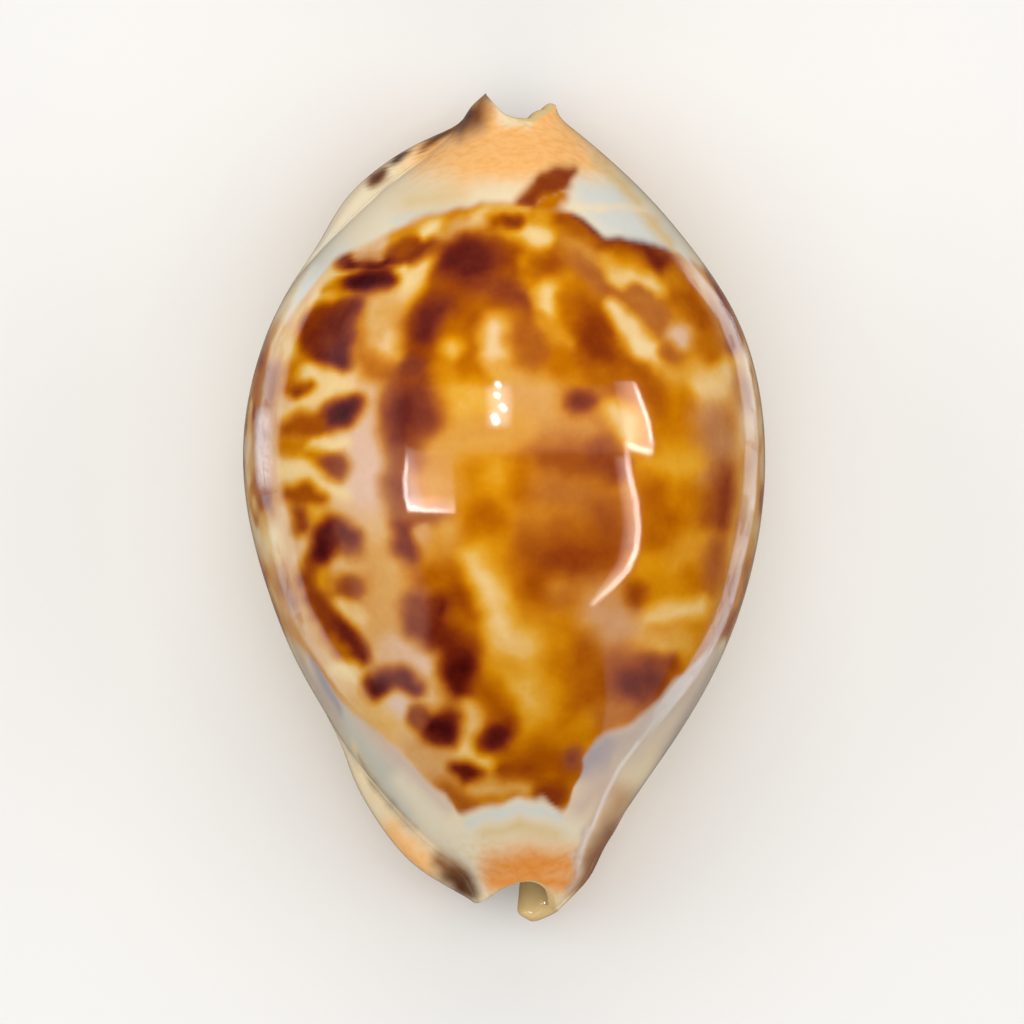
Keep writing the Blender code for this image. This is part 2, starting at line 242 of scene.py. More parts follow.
def side_face(side, s, y, inside):
    """Points of one half of the section, with s from 0 at the top to 1 at the edge of the lip."""
    left = spline(LEFT_EDGE, y)
    right = spline(RIGHT_EDGE, y)
    centre = (left + right) / 2.0
    wall = spline(WALL, y) if inside else 0.0
    half = (right - left) / 2.0 - wall
    crest = spline(CREST, y)
    widest = spline(WIDEST, y)
    base = base_height(y)
    lip = spline(LIP, y)
    edge = side * (spline(APERTURE_MIDDLE, y) - centre) + spline(APERTURE_HALF, y)
    nose = LIP_ROUNDING * lip
    floor = base + LIP_RISE + lip if inside else base
    rise = 0.0 if inside else LIP_RISE
    middle = base + LIP_RISE + lip / 2.0
    span = half - edge - nose
    bottom = edge + nose + (INNER_BOTTOM if inside else STRIP_OUTER) * span
    strip = edge + nose + (INNER_BOTTOM if inside else STRIP_INNER) * span

    turn = turn_of(s)
    angle = np.radians(turn)
    x = np.where(turn <= 90.0, half * np.sin(angle), bottom + (half - bottom) * np.sin(angle))
    dome_z = widest + (crest - wall - widest) * np.cos(angle)
    z = np.where(turn <= 90.0, dome_z, widest + (widest - floor) * np.cos(angle))
    if not inside:
        bump = callus(side, turn, y)
        x = x + bump * np.sin(angle)
        z = z + bump * np.cos(angle)

    flat = np.clip((s - BASE_S) / (STRIP_S - BASE_S), 0.0, 1.0)
    slope = np.clip((s - STRIP_S) / (LIP_S - STRIP_S), 0.0, 1.0)
    x = x + (strip - bottom) * flat + (edge + nose - strip) * slope
    z = z + rise * smooth(slope)

    round_lip = np.radians(90.0 * np.clip((s - LIP_S) / (1.0 - LIP_S), 0.0, 1.0))
    on_lip = s > LIP_S
    x = np.where(on_lip, edge + nose * (1.0 - np.sin(round_lip)), x)
    z = np.where(on_lip, middle + (1.0 if inside else -1.0) * lip / 2.0 * np.cos(round_lip), z)

    tooth_start = LIP_S if inside else STRIP_S + 0.5 * (LIP_S - STRIP_S)
    tooth_full = 1.0 if inside else LIP_S
    height = tooth(side, y) * step(s, tooth_start, tooth_full - tooth_start)
    x = x - height * np.where(on_lip, np.sin(round_lip), 0.0)
    z = z - height * np.where(on_lip, np.cos(round_lip), 1.0) * (0.0 if inside else 1.0)
    return centre + side * x, z


def face_points(s, y, inside):
    """Outer or inner face at s from -1 to 1 and y, as x, y, z columns in millimetres."""
    left_x, left_z = side_face(-1.0, np.abs(s), y, inside)
    right_x, right_z = side_face(1.0, np.abs(s), y, inside)
    x = np.where(s < 0.0, left_x, right_x)
    z = np.where(s < 0.0, left_z, right_z)
    return np.stack([x, y, np.maximum(z, 0.0)], axis=-1)


def section_steps():
    """Values of s from one lip to the other, close together where the surface shows most."""
    stops = (
        (0.0, MARGIN_S, DOME_STEPS), (MARGIN_S, BASE_S, UNDER_STEPS), (BASE_S, STRIP_S, STRIP_STEPS),
        (STRIP_S, LIP_S, SLOPE_STEPS), (LIP_S, 1.0, LIP_STEPS),
    )
    half = [low + (high - low) * i / steps for low, high, steps in stops for i in range(steps)] + [1.0]
    return np.array([-s for s in reversed(half)] + half[1:])


def station_rows(s, inside):
    """The y of every station at each s: straight between the canals, then leaning to the rims."""
    posterior = spline(POSTERIOR_RIM, s)
    anterior = spline(ANTERIOR_RIM, s)
    if inside:
        posterior = posterior - spline(POSTERIOR_SETBACK, s)
        anterior = anterior + spline(ANTERIOR_SETBACK, s)
    places = [-RIM_ZONE + 2.0 * RIM_ZONE * i / STRAIGHT_ROWS for i in range(STRAIGHT_ROWS + 1)]
    straight = [np.full_like(s, place) for place in places]
    shares = [i / RIM_ROWS for i in range(1, RIM_ROWS + 1)]
    before = [-RIM_ZONE + (anterior + RIM_ZONE) * k for k in reversed(shares)]
    after = [RIM_ZONE + (posterior - RIM_ZONE) * k for k in shares]
    return np.array(before + straight + after)


class ShellGrid:
    """The outer and the inner face as grids of points, and the faces between them."""

    def __init__(self):
        self.s = section_steps()
        self.count = len(self.s)
        inner_keep = []
        for i, s in enumerate(self.s):
            if abs(s) >= LIP_S - 1e-9 or (i - self.count // 2) % INNER_STRIDE == 0:
                inner_keep.append(i)
        self.inner_keep = inner_keep[1:-1]
        self.outer_y = station_rows(self.s, False)
        self.inner_y = station_rows(self.s, True)
        self.outer = np.array([face_points(self.s, y, False) for y in self.outer_y])
        self.inner = np.array([face_points(self.s, y, True) for y in self.inner_y])

    def build(self):
        """All points in millimetres and all faces, with outer points first, row by row."""
        rows, count = self.outer.shape[:2]
        points = [self.outer.reshape(-1, 3)]
        inner = self.inner[:, self.inner_keep]
        inner_start = rows * count
        points.append(inner.reshape(-1, 3))
        width = len(self.inner_keep)
        faces = []

        def outer_id(row, i):
            return row * count + i

        def inner_id(row, k):
            """The inner face shares its two end points, the edges of the lips, with the outer face."""
            if k == 0:
                return outer_id(row, 0)
            if k == width + 1:
                return outer_id(row, count - 1)
            return inner_start + row * width + k - 1

        for row in range(rows - 1):
            after = row + 1
            for i in range(count - 1):
                corners = outer_id(row, i), outer_id(row, i + 1), outer_id(after, i + 1), outer_id(after, i)
                faces.append(corners)
            for k in range(width + 1):
                corners = inner_id(row, k + 1), inner_id(row, k), inner_id(after, k), inner_id(after, k + 1)
                faces.append(corners)

        total = inner_start + rows * width
        ends = [0] + self.inner_keep + [count - 1]
        for row, outwards in ((0, -1.0), (rows - 1, 1.0)):
            previous = [outer_id(row, i) for i in range(count)]
            for share in CAP_STEPS:
                loop = self.outer[row] + (self.inner[row] - self.outer[row]) * share
                loop = loop + np.array([0.0, outwards * RIM_BULGE * math.sin(math.pi * share), 0.0])
                points.append(loop[1:-1])
                current = [previous[0]] + list(range(total, total + count - 2)) + [previous[-1]]
                total += count - 2
                for i in range(count - 1):
                    corners = [previous[i], previous[i + 1], current[i + 1], current[i]]
                    add_face(faces, corners, outwards < 0.0)
                previous = current
            for k in range(width + 1):
                low, high = ends[k], ends[k + 1]
                corners = previous[low:high + 1] + [inner_id(row, k + 1), inner_id(row, k)]
                add_face(faces, corners, outwards < 0.0)
        return np.concatenate(points), faces


def add_face(faces, corners, reverse):
    """Adds one face, without corners that are named twice."""
    kept = []
    for corner in corners:
        if corner not in kept:
            kept.append(corner)
    if len(kept) > 2:
        faces.append(tuple(reversed(kept)) if reverse else tuple(kept))


# Camera: straight above the shell, one metre over its widest level, as far as the photograph's frame tells.
CAMERA_X = 0.77
CAMERA_Y = -0.48
CAMERA_ABOVE = 1000.0
MARGIN_LEVEL = 14.0
PIXEL = 0.09615
CENTRE_PIXEL = 512.0
SENSOR = 36.0
LENS = SENSOR * CAMERA_ABOVE / (2.0 * CENTRE_PIXEL * PIXEL)


def pixels_of(points):
    """Photograph pixels of points in millimetres, as the camera above the shell sees them."""
    scale = CAMERA_ABOVE / (CAMERA_ABOVE + MARGIN_LEVEL - points[:, 2]) / PIXEL
    right = (points[:, 0] - CAMERA_X) * scale
    up = (points[:, 1] - CAMERA_Y) * scale
    return CENTRE_PIXEL + right, CENTRE_PIXEL - up


# Distances and soft noise in pixels of the photograph.
STROKE_BLEND = 3.0
NEAREST_AWAY = -60.0
FARTHEST_AWAY = 600.0
TINY = 1e-12
SOFTNESS = 1.5
EDGE_SHARE = 0.66
LATTICE = 256
LATTICE_SLOPE = 0.9
WARP_SIZE = 17.0
WARP_REACH = 3.0
FINE_WARP_SIZE = 7.0
FINE_WARP_REACH = 0.6
CLOUD_SIZE = 24.0
CLOUD_DEPTH = 0.05


def soft_noise(x, y, seed):
    """Smooth noise from about -1 to 1 with bumps one unit across, the same on every run."""
    slopes = np.random.default_rng(seed).normal(size=(LATTICE, LATTICE, 2)) * LATTICE_SLOPE
    column = np.floor(x).astype(int)
    row = np.floor(y).astype(int)
    fx, fy = x - column, y - row
    ease_x, ease_y = smooth(fx), smooth(fy)

    def corner(dx, dy):
        slope = slopes[(row + dy) % LATTICE, (column + dx) % LATTICE]
        return slope[:, 0] * (fx - dx) + slope[:, 1] * (fy - dy)

    low = corner(0, 0) + (corner(1, 0) - corner(0, 0)) * ease_x
    high = corner(0, 1) + (corner(1, 1) - corner(0, 1)) * ease_x
    return low + (high - low) * ease_y


def warped(px, py):
    """The pixels pushed about a little, so that the edges of the strokes wander as grown edges do."""
    wx = px + WARP_REACH * soft_noise(px / WARP_SIZE, py / WARP_SIZE, 1)
    wy = py + WARP_REACH * soft_noise(px / WARP_SIZE, py / WARP_SIZE, 2)
    wx = wx + FINE_WARP_REACH * soft_noise(px / FINE_WARP_SIZE, py / FINE_WARP_SIZE, 3)
    wy = wy + FINE_WARP_REACH * soft_noise(px / FINE_WARP_SIZE, py / FINE_WARP_SIZE, 4)
    return wx, wy


def stroke_distance(px, py, points):
    """Distance in pixels to the edge of a stroke through (x, y, radius) points, below zero inside it."""
    if len(points) == 1:
        x, y, radius = points[0]
        return np.hypot(px - x, py - y) - radius
    total = np.zeros(len(px))
    for (x0, y0, r0), (x1, y1, r1) in zip(points, points[1:]):
        dx, dy = x1 - x0, y1 - y0
        along = np.clip(((px - x0) * dx + (py - y0) * dy) / (dx * dx + dy * dy), 0.0, 1.0)
        away = np.hypot(px - x0 - along * dx, py - y0 - along * dy) - (r0 + (r1 - r0) * along)
        total += np.exp(-np.clip(away, NEAREST_AWAY, FARTHEST_AWAY) / STROKE_BLEND)
    return -STROKE_BLEND * np.log(total + TINY)


def cover_of(px, py, soft, points):
    """How much a stroke covers each pixel, from 0 outside to 1 inside its soft edge."""
    return smooth(EDGE_SHARE - stroke_distance(px, py, points) / (SOFTNESS * soft))


# Strokes of the mantle pattern, in painting order. Each has the pigment's depth (0 cream, 0.4 amber,
# 0.7 brown, 1 nearly black), how rose it is (0 golden, 1 rose or purple), the width in pixels of its soft
# edge, and then the (x, y, radius) points that it runs through, read off the photograph.
GROUND = (
    (0.16, 0.50, 50, (352, 290, 50), (330, 400, 66), (330, 520, 66), (370, 620, 58), (420, 730, 50)),
    (0.20, 0.55, 24, (386, 300, 20), (378, 380, 20), (372, 440, 24), (378, 560, 24), (388, 660, 24)),
    (0.10, 0.95, 22, (372, 400, 8), (368, 440, 15), (366, 490, 16)),
    (0.30, 0.45, 22, (380, 560, 16), (378, 600, 18), (384, 635, 16)),
    (0.16, 0.85, 20, (396, 648, 10), (420, 658, 11)),
    (0.20, 0.20, 22, (352, 678, 8), (372, 702, 12), (392, 722, 12)),
    (0.30, 0.70, 20, (420, 748, 8), (440, 776, 10)),
    (0.26, 0.15, 40, (446, 392, 20), (500, 400, 26), (540, 410, 24), (470, 440, 20), (540, 436, 14)),
    (0.50, 0.00, 30, (500, 650, 20), (560, 670, 36), (560, 730, 36), (530, 770, 20)),
    (0.40, 0.70, 22, (592, 580, 10), (606, 610, 18), (606, 644, 14)),
    (0.22, 0.25, 24, (712, 372, 12), (722, 392, 12)),
)
UPPER_LEFT = (
    (0.06, 0.05, 18, (345, 262, 4), (322, 300, 9), (300, 330, 6), (290, 350, 6)),
    (0.06, 0.05, 12, (322, 298, 7), (352, 295, 5)),
    (0.12, 0.60, 12, (352, 250, 6), (380, 246, 6)),
    (0.08, 0.10, 14, (402, 276, 6), (418, 264, 8), (436, 250, 5)),
    (0.06, 0.05, 16, (410, 282, 9), (420, 292, 9), (408, 300, 8)),
    (0.82, 0.35, 9, (344, 261, 6), (348, 266, 6), (372, 268, 5), (392, 264, 6)),
    (0.80, 0.25, 11, (392, 262, 7), (404, 255, 9), (416, 251, 5), (438, 245, 2)),
    (0.72, 0.10, 10, (402, 250, 7), (411, 241, 6), (421, 237, 3)),
    (0.30, 0.90, 6, (356, 258, 3), (368, 262, 4), (379, 257, 3)),
    (0.97, 0.50, 7, (350, 267, 3), (372, 268, 4), (386, 265, 2)),
    (0.06, 0.00, 7, (334, 276, 2), (360, 274, 1), (392, 273, 2), (404, 270, 3)),
    (0.48, 0.00, 8, (325, 290, 2), (340, 286, 4), (352, 285, 5)),
    (0.84, 0.10, 10, (348, 284, 4), (366, 282, 9), (384, 280, 9), (394, 280, 3)),
    (1.00, 0.55, 9, (354, 283, 4), (370, 282, 6), (386, 280, 6)),
    (0.79, 0.00, 12, (342, 306, 7), (324, 316, 9), (311, 332, 12), (313, 350, 11), (328, 362, 9)),
    (0.76, 0.50, 12, (360, 302, 5), (350, 318, 10), (344, 336, 13), (340, 356, 12)),
    (0.84, 0.10, 12, (330, 318, 9), (320, 340, 14)),
    (0.86, 0.60, 12, (354, 304, 3), (338, 322, 5), (334, 345, 10), (336, 358, 12)),
    (0.92, 0.80, 10, (338, 355, 9)),
    (0.52, 0.00, 12, (362, 318, 2), (361, 345, 3)),
    (0.50, 0.00, 14, (302, 358, 4), (292, 372, 6), (287, 386, 4)),
    (0.05, 0.05, 14, (312, 376, 6), (328, 382, 8), (345, 384, 6)),
    (0.27, 0.35, 18, (386, 306, 12), (388, 330, 15), (384, 348, 9)),
    (0.08, 0.25, 14, (393, 346, 8), (398, 352, 5)),
    (0.54, 0.00, 14, (360, 357, 4), (374, 368, 9), (396, 374, 9)),
)
UPPER_MIDDLE = (
    (0.40, 0.05, 9, (394, 236, 3), (412, 226, 4), (447, 215, 3)),
    (0.05, 0.00, 9, (424, 232, 5), (438, 226, 5)),
    (0.44, 0.05, 10, (446, 228, 4), (462, 220, 5), (484, 208, 4), (500, 206, 2)),
    (0.14, 0.90, 12, (446, 240, 4), (460, 232, 5), (482, 223, 4)),
    (0.14, 0.10, 10, (478, 218, 3), (490, 213, 3), (520, 212, 4)),
    (0.12, 0.10, 14, (470, 234, 3), (500, 234, 3), (540, 236, 8)),
    (0.05, 0.00, 12, (514, 235, 5), (542, 237, 6)),
    (0.64, 0.00, 12, (496, 222, 5), (516, 221, 5)),
    (0.78, 0.10, 9, (508, 221, 4), (516, 221, 4)),
    (0.36, 0.00, 12, (543, 219, 5), (556, 223, 6)),
    (0.70, 0.05, 20, (462, 262, 24), (486, 256, 18), (508, 256, 12), (518, 266, 8)),
    (0.70, 0.10, 22, (462, 286, 18), (490, 292, 16), (520, 296, 12), (532, 308, 8)),
    (0.87, 0.35, 20, (460, 268, 16), (470, 258, 17), (484, 256, 10)),
    (0.92, 0.40, 16, (459, 270, 12), (470, 262, 12)),
    (0.80, 0.35, 16, (474, 288, 8), (500, 292, 7), (526, 296, 7)),
    (0.60, 0.00, 24, (446, 304, 14), (466, 318, 18), (492, 318, 14)),
    (0.74, 0.05, 20, (450, 292, 10), (436, 306, 14), (424, 326, 16), (420, 348, 14), (424, 372, 14)),
    (0.89, 0.45, 16, (442, 306, 6), (432, 318, 11), (424, 332, 6)),
    (0.84, 0.85, 12, (412, 370, 9)),
    (0.60, 0.00, 20, (455, 332, 10), (474, 346, 10), (472, 368, 12)),
    (0.66, 0.00, 14, (486, 314, 7), (474, 324, 6)),
    (0.18, 0.00, 14, (452, 349, 7)),
    (0.46, 0.00, 14, (440, 370, 8), (444, 384, 7)),
    (0.58, 0.00, 14, (470, 368, 9), (480, 376, 7)),
    (0.06, 0.30, 18, (496, 330, 10), (496, 350, 11)),
    (0.30, 0.20, 14, (500, 370, 9), (514, 378, 9)),
    (0.42, 0.00, 12, (526, 262, 6)),
    (0.46, 0.00, 12, (528, 282, 5), (536, 288, 4)),
    (0.68, 0.05, 18, (546, 268, 10), (556, 262, 9)),
    (0.56, 0.20, 16, (568, 246, 7), (576, 262, 10)),
    (0.06, 0.05, 16, (548, 292, 8), (552, 306, 9), (556, 316, 6)),
    (0.44, 0.00, 16, (570, 284, 8), (584, 292, 7)),
    (0.62, 0.20, 22, (526, 336, 13), (538, 348, 16), (530, 358, 10)),
    (0.56, 0.00, 18, (566, 304, 5), (566, 335, 7), (562, 366, 10)),
    (0.66, 0.05, 22, (582, 302, 10), (602, 314, 14), (618, 330, 10)),
    (0.80, 0.05, 24, (592, 338, 14), (602, 348, 16), (606, 362, 12)),
    (0.64, 0.05, 20, (624, 336, 8), (634, 356, 10), (640, 376, 9)),
    (0.40, 0.10, 12, (540, 322, 3), (556, 334, 4), (570, 345, 3)),
)
UPPER_RIGHT = (
    (0.38, 0.35, 14, (574, 240, 6), (590, 252, 8), (600, 268, 8)),
    (0.66, 0.05, 14, (562, 219, 6), (576, 224, 8), (590, 234, 6)),
    (0.73, 0.05, 14, (604, 243, 6), (622, 248, 9), (642, 251, 9), (664, 256, 7)),
    (0.86, 0.60, 6, (576, 214, 2), (596, 229, 3), (614, 237, 2), (642, 241, 2), (666, 247, 2)),
    (0.88, 0.20, 14, (650, 254, 7), (660, 266, 7)),
    (0.70, 0.10, 14, (678, 268, 6), (694, 286, 7)),
    (0.40, 0.00, 16, (612, 262, 7), (636, 268, 7)),
    (0.58, 0.45, 12, (578, 258, 4), (590, 270, 5), (604, 284, 6), (620, 300, 5)),
    (0.30, 0.10, 12, (606, 262, 4), (618, 276, 4)),
    (0.10, 0.10, 12, (614, 276, 5), (630, 280, 6), (648, 286, 6), (668, 290, 4)),
    (0.58, 0.40, 9, (624, 294, 2), (637, 291, 4), (648, 297, 3)),
    (0.56, 0.50, 16, (640, 304, 8), (656, 314, 10), (666, 330, 7)),
    (0.62, 0.30, 10, (608, 292, 3), (620, 304, 4), (634, 314, 3)),
    (0.08, 0.20, 12, (612, 306, 4), (628, 326, 7), (646, 352, 8), (654, 366, 6)),
    (0.52, 0.05, 18, (676, 280, 9), (684, 302, 10), (694, 322, 9)),
    (0.66, 0.05, 14, (688, 296, 5), (704, 322, 7)),
    (0.10, 0.95, 14, (681, 337, 9)),
    (0.60, 0.30, 12, (668, 352, 6), (674, 358, 6)),
    (0.58, 0.05, 14, (706, 342, 7), (714, 356, 7)),
    (0.30, 0.20, 16, (666, 376, 7), (684, 384, 8)),
    (0.12, 0.10, 18, (696, 388, 8), (706, 398, 7), (722, 376, 6)),
    (0.64, 0.05, 16, (640, 374, 8), (654, 392, 9), (664, 410, 9)),
    (0.50, 0.00, 18, (680, 398, 9), (684, 420, 10), (690, 432, 8)),
)
CENTRE = (
    (0.27, 0.00, 22, (446, 400, 10), (470, 402, 14), (500, 408, 14)),
    (0.33, 0.45, 24, (524, 396, 16), (546, 402, 14)),
    (0.60, 0.05, 18, (604, 376, 9), (618, 388, 9), (612, 400, 6)),
    (0.58, 0.05, 18, (576, 401, 11), (586, 402, 12)),
    (0.84, 0.05, 14, (580, 402, 9)),
    (0.10, 0.15, 16, (612, 414, 8), (624, 424, 10), (630, 436, 8)),
    (0.56, 0.20, 16, (598, 424, 8), (606, 438, 7)),
    (0.36, 0.25, 26, (468, 436, 12), (520, 438, 10)),
    (0.42, 0.50, 22, (552, 434, 10), (584, 434, 9)),
    (0.46, 0.00, 26, (482, 480, 20), (486, 520, 26), (478, 556, 18)),
    (0.34, 0.00, 18, (496, 470, 8), (500, 490, 8)),
    (0.62, 0.00, 20, (482, 514, 9), (492, 520, 9)),
    (0.56, 0.00, 18, (520, 462, 8), (522, 490, 9)),
    (0.68, 0.20, 22, (546, 458, 10), (574, 460, 13), (606, 464, 14)),
    (0.76, 0.35, 18, (600, 452, 8), (614, 470, 8)),
    (0.55, 0.40, 22, (552, 492, 13), (580, 498, 13)),
    (0.54, 0.20, 24, (536, 524, 12), (566, 526, 12)),
    (0.64, 0.30, 20, (606, 506, 12), (614, 536, 12)),
    (0.74, 0.10, 30, (540, 556, 14), (566, 560, 18), (602, 550, 16)),
    (0.70, 0.00, 20, (532, 586, 10), (544, 590, 9)),
    (0.52, 0.30, 20, (562, 592, 9), (578, 594, 8)),
)
RIGHT_SIDE = (
    (0.47, 1.00, 24, (714, 418, 12), (722, 444, 15), (718, 472, 12)),
    (0.34, 0.00, 22, (658, 462, 10), (674, 464, 13), (694, 462, 8)),
    (0.52, 0.00, 16, (652, 440, 7), (660, 432, 7)),
    (0.61, 0.02, 22, (654, 494, 11), (662, 518, 15), (656, 542, 12)),
    (0.48, 0.00, 18, (686, 500, 9), (690, 524, 9)),
    (0.62, 0.10, 16, (708, 500, 7), (706, 526, 8)),
    (0.76, 0.40, 20, (728, 478, 9), (730, 500, 11), (722, 520, 7)),
    (0.40, 0.00, 18, (648, 566, 10), (668, 576, 10)),
    (0.37, 0.10, 20, (680, 560, 8), (692, 550, 9), (702, 542, 7)),
    (0.62, 0.50, 16, (718, 548, 8), (714, 572, 8), (706, 590, 6)),
    (0.54, 0.00, 16, (690, 578, 8), (698, 588, 6)),
    (0.44, 0.00, 16, (664, 590, 9), (682, 594, 8)),
    (0.70, 0.05, 14, (636, 592, 7), (634, 610, 7)),
    (0.15, 0.10, 14, (646, 619, 5), (668, 614, 7), (700, 607, 6)),
    (0.40, 0.05, 14, (660, 636, 6), (682, 632, 7)),
    (0.30, 0.20, 18, (636, 640, 8), (660, 650, 8), (684, 644, 6)),
    (0.34, 0.90, 20, (600, 612, 9), (620, 624, 11), (606, 644, 9)),
    (0.64, 0.25, 18, (604, 662, 9), (624, 662, 9), (640, 660, 7)),
    (0.76, 0.05, 12, (650, 664, 5), (670, 663, 6)),
    (0.78, 0.15, 22, (612, 686, 14), (636, 686, 17), (656, 680, 11)),
    (0.90, 0.25, 16, (634, 686, 9), (648, 682, 9)),
    (0.56, 0.30, 16, (604, 712, 9), (624, 710, 7)),
)
LEFT_FINGERS = (
    (0.66, 0.05, 9, (290, 390, 3), (300, 392, 7), (310, 386, 4)),
    (0.78, 0.15, 7, (299, 394, 4)),
    (0.06, 0.00, 9, (288, 413, 2), (304, 404, 3), (324, 393, 4)),
    (0.62, 0.00, 12, (320, 424, 8), (342, 413, 12), (358, 402, 7)),
    (0.98, 0.50, 12, (330, 418, 7), (341, 412, 8), (350, 406, 6)),
    (0.68, 0.05, 14, (288, 430, 8), (304, 426, 9), (318, 426, 8)),
    (0.50, 0.00, 12, (286, 446, 6), (302, 446, 6)),
    (0.04, 0.00, 9, (316, 447, 5), (326, 446, 5), (344, 444, 2)),
    (0.52, 0.00, 12, (296, 456, 4), (312, 460, 7), (326, 468, 11)),
    (0.74, 0.60, 12, (335, 467, 12)),
    (0.05, 0.05, 12, (284, 472, 6), (302, 472, 8), (322, 485, 5), (344, 495, 3)),
    (0.70, 0.05, 13, (289, 494, 6), (304, 494, 8), (320, 500, 5)),
    (0.34, 0.00, 12, (312, 512, 5), (322, 520, 7)),
    (0.76, 0.20, 12, (299, 514, 5), (302, 526, 7)),
    (0.86, 0.20, 14, (331, 524, 5), (328, 540, 10), (320, 556, 8)),
    (0.74, 0.10, 14, (314, 562, 7), (310, 578, 8), (314, 594, 7)),
    (0.98, 0.30, 12, (328, 534, 7), (322, 550, 7)),
    (0.38, 0.00, 12, (322, 576, 5), (328, 590, 6)),
    (0.76, 0.10, 13, (318, 600, 7), (326, 614, 9), (338, 632, 11), (348, 646, 10), (358, 656, 7)),
    (0.56, 0.00, 12, (338, 640, 5), (346, 656, 5)),
    (0.88, 0.20, 10, (338, 614, 4), (348, 634, 5), (364, 658, 5)),
    (0.58, 0.50, 14, (354, 547, 8)),
    (0.84, 0.90, 14, (342, 532, 9), (350, 538, 8)),
    (0.60, 0.20, 14, (340, 588, 9), (356, 588, 9)),
    (0.76, 0.45, 12, (348, 588, 6), (354, 588, 6)),
    (0.10, 0.20, 12, (342, 606, 4), (358, 618, 5)),
    (0.05, 0.05, 11, (334, 668, 4), (352, 671, 6)),
)
DARK_COLUMN = (
    (0.72, 0.20, 26, (410, 396, 20), (412, 418, 23), (410, 438, 16)),
    (0.87, 0.50, 22, (408, 406, 15), (409, 420, 17), (406, 434, 13)),
    (0.66, 1.00, 18, (402, 456, 9), (397, 480, 10), (402, 504, 12)),
    (0.70, 0.40, 18, (424, 438, 9), (418, 462, 8)),
    (0.36, 0.30, 20, (442, 450, 10), (434, 480, 10), (448, 492, 8)),
    (0.62, 0.85, 14, (416, 518, 7), (442, 518, 6)),
    (0.80, 0.55, 14, (402, 528, 8), (406, 545, 9), (412, 556, 6)),
    (0.30, 0.60, 12, (424, 534, 7)),
    (0.34, 0.30, 16, (448, 530, 8), (446, 554, 9)),
    (0.62, 0.02, 22, (424, 580, 12), (450, 582, 15), (466, 596, 10)),
    (0.72, 0.00, 18, (462, 594, 9), (466, 610, 8)),
    (0.76, 0.65, 16, (416, 606, 11), (420, 622, 14), (428, 636, 9)),
    (0.92, 0.10, 16, (440, 604, 6), (442, 634, 9)),
    (0.62, 0.00, 18, (460, 626, 10), (472, 640, 9)),
    (0.84, 0.05, 20, (448, 640, 10), (460, 658, 16)),
    (0.99, 0.05, 20, (457, 672, 12), (462, 684, 13)),
)
LOWER_MIDDLE = (
    (0.12, 0.05, 20, (472, 558, 4), (482, 576, 7), (493, 600, 7), (499, 622, 7), (506, 642, 9)),
    (0.20, 0.10, 22, (504, 648, 10), (526, 646, 13)),
    (0.38, 0.00, 22, (500, 676, 10), (510, 690, 10)),
    (0.24, 0.05, 26, (528, 688, 12), (534, 704, 12)),
    (0.62, 0.05, 24, (584, 652, 12), (590, 690, 14)),
    (0.64, 0.00, 20, (484, 692, 10), (498, 708, 10)),
    (0.20, 0.25, 14, (466, 712, 7), (474, 732, 6)),
    (0.10, 0.00, 14, (466, 750, 5), (484, 757, 5), (494, 764, 4)),
    (0.84, 0.50, 14, (374, 689, 7), (384, 680, 8), (402, 679, 7), (416, 688, 6)),
    (0.96, 0.40, 11, (377, 688, 6)),
    (0.06, 0.95, 12, (398, 704, 7), (406, 712, 5)),
    (0.82, 0.15, 15, (424, 720, 8), (436, 728, 12), (450, 718, 8), (448, 736, 8)),
    (0.99, 0.25, 12, (434, 728, 8), (444, 730, 7)),
    (0.70, 0.90, 10, (416, 715, 6), (420, 720, 5)),
    (0.80, 0.05, 14, (486, 744, 8), (497, 737, 10), (507, 726, 7)),
    (0.99, 0.25, 11, (492, 741, 6), (500, 735, 6)),
    (0.26, 0.60, 12, (432, 758, 6), (446, 768, 5)),
    (0.94, 0.10, 11, (455, 769, 4), (467, 773, 6), (478, 777, 3)),
    (0.50, 0.10, 14, (484, 788, 7), (508, 792, 6)),
    (0.60, 0.20, 14, (446, 790, 6), (464, 804, 8)),
    (0.24, 0.45, 10, (476, 790, 3), (500, 784, 4), (528, 788, 4)),
    (0.74, 0.02, 18, (506, 768, 7), (534, 767, 9)),
    (0.64, 0.00, 18, (548, 756, 10), (566, 770, 10), (554, 790, 10)),
    (0.80, 0.10, 14, (546, 794, 7), (556, 796, 8)),
    (0.74, 0.80, 12, (574, 758, 7)),
)
FLAG = (
    (0.40, 0.90, 8, (520, 203, 3), (532, 195, 6), (546, 184, 9), (560, 177, 10), (573, 170, 4)),
    (0.77, 0.20, 8, (518, 206, 2), (532, 200, 5), (545, 189, 9), (558, 182, 10), (571, 173, 4)),
    (0.52, 0.00, 8, (534, 208, 4), (548, 203, 6), (561, 197, 5)),
    (0.84, 0.10, 6, (522, 207, 2), (531, 204, 2)),
)
MARKS = (GROUND + UPPER_LEFT + UPPER_MIDDLE + UPPER_RIGHT + CENTRE + RIGHT_SIDE + DARK_COLUMN + LEFT_FINGERS
         + LOWER_MIDDLE)
GROUND_DEPTH = 0.46
GROUND_ROSE = 0.05

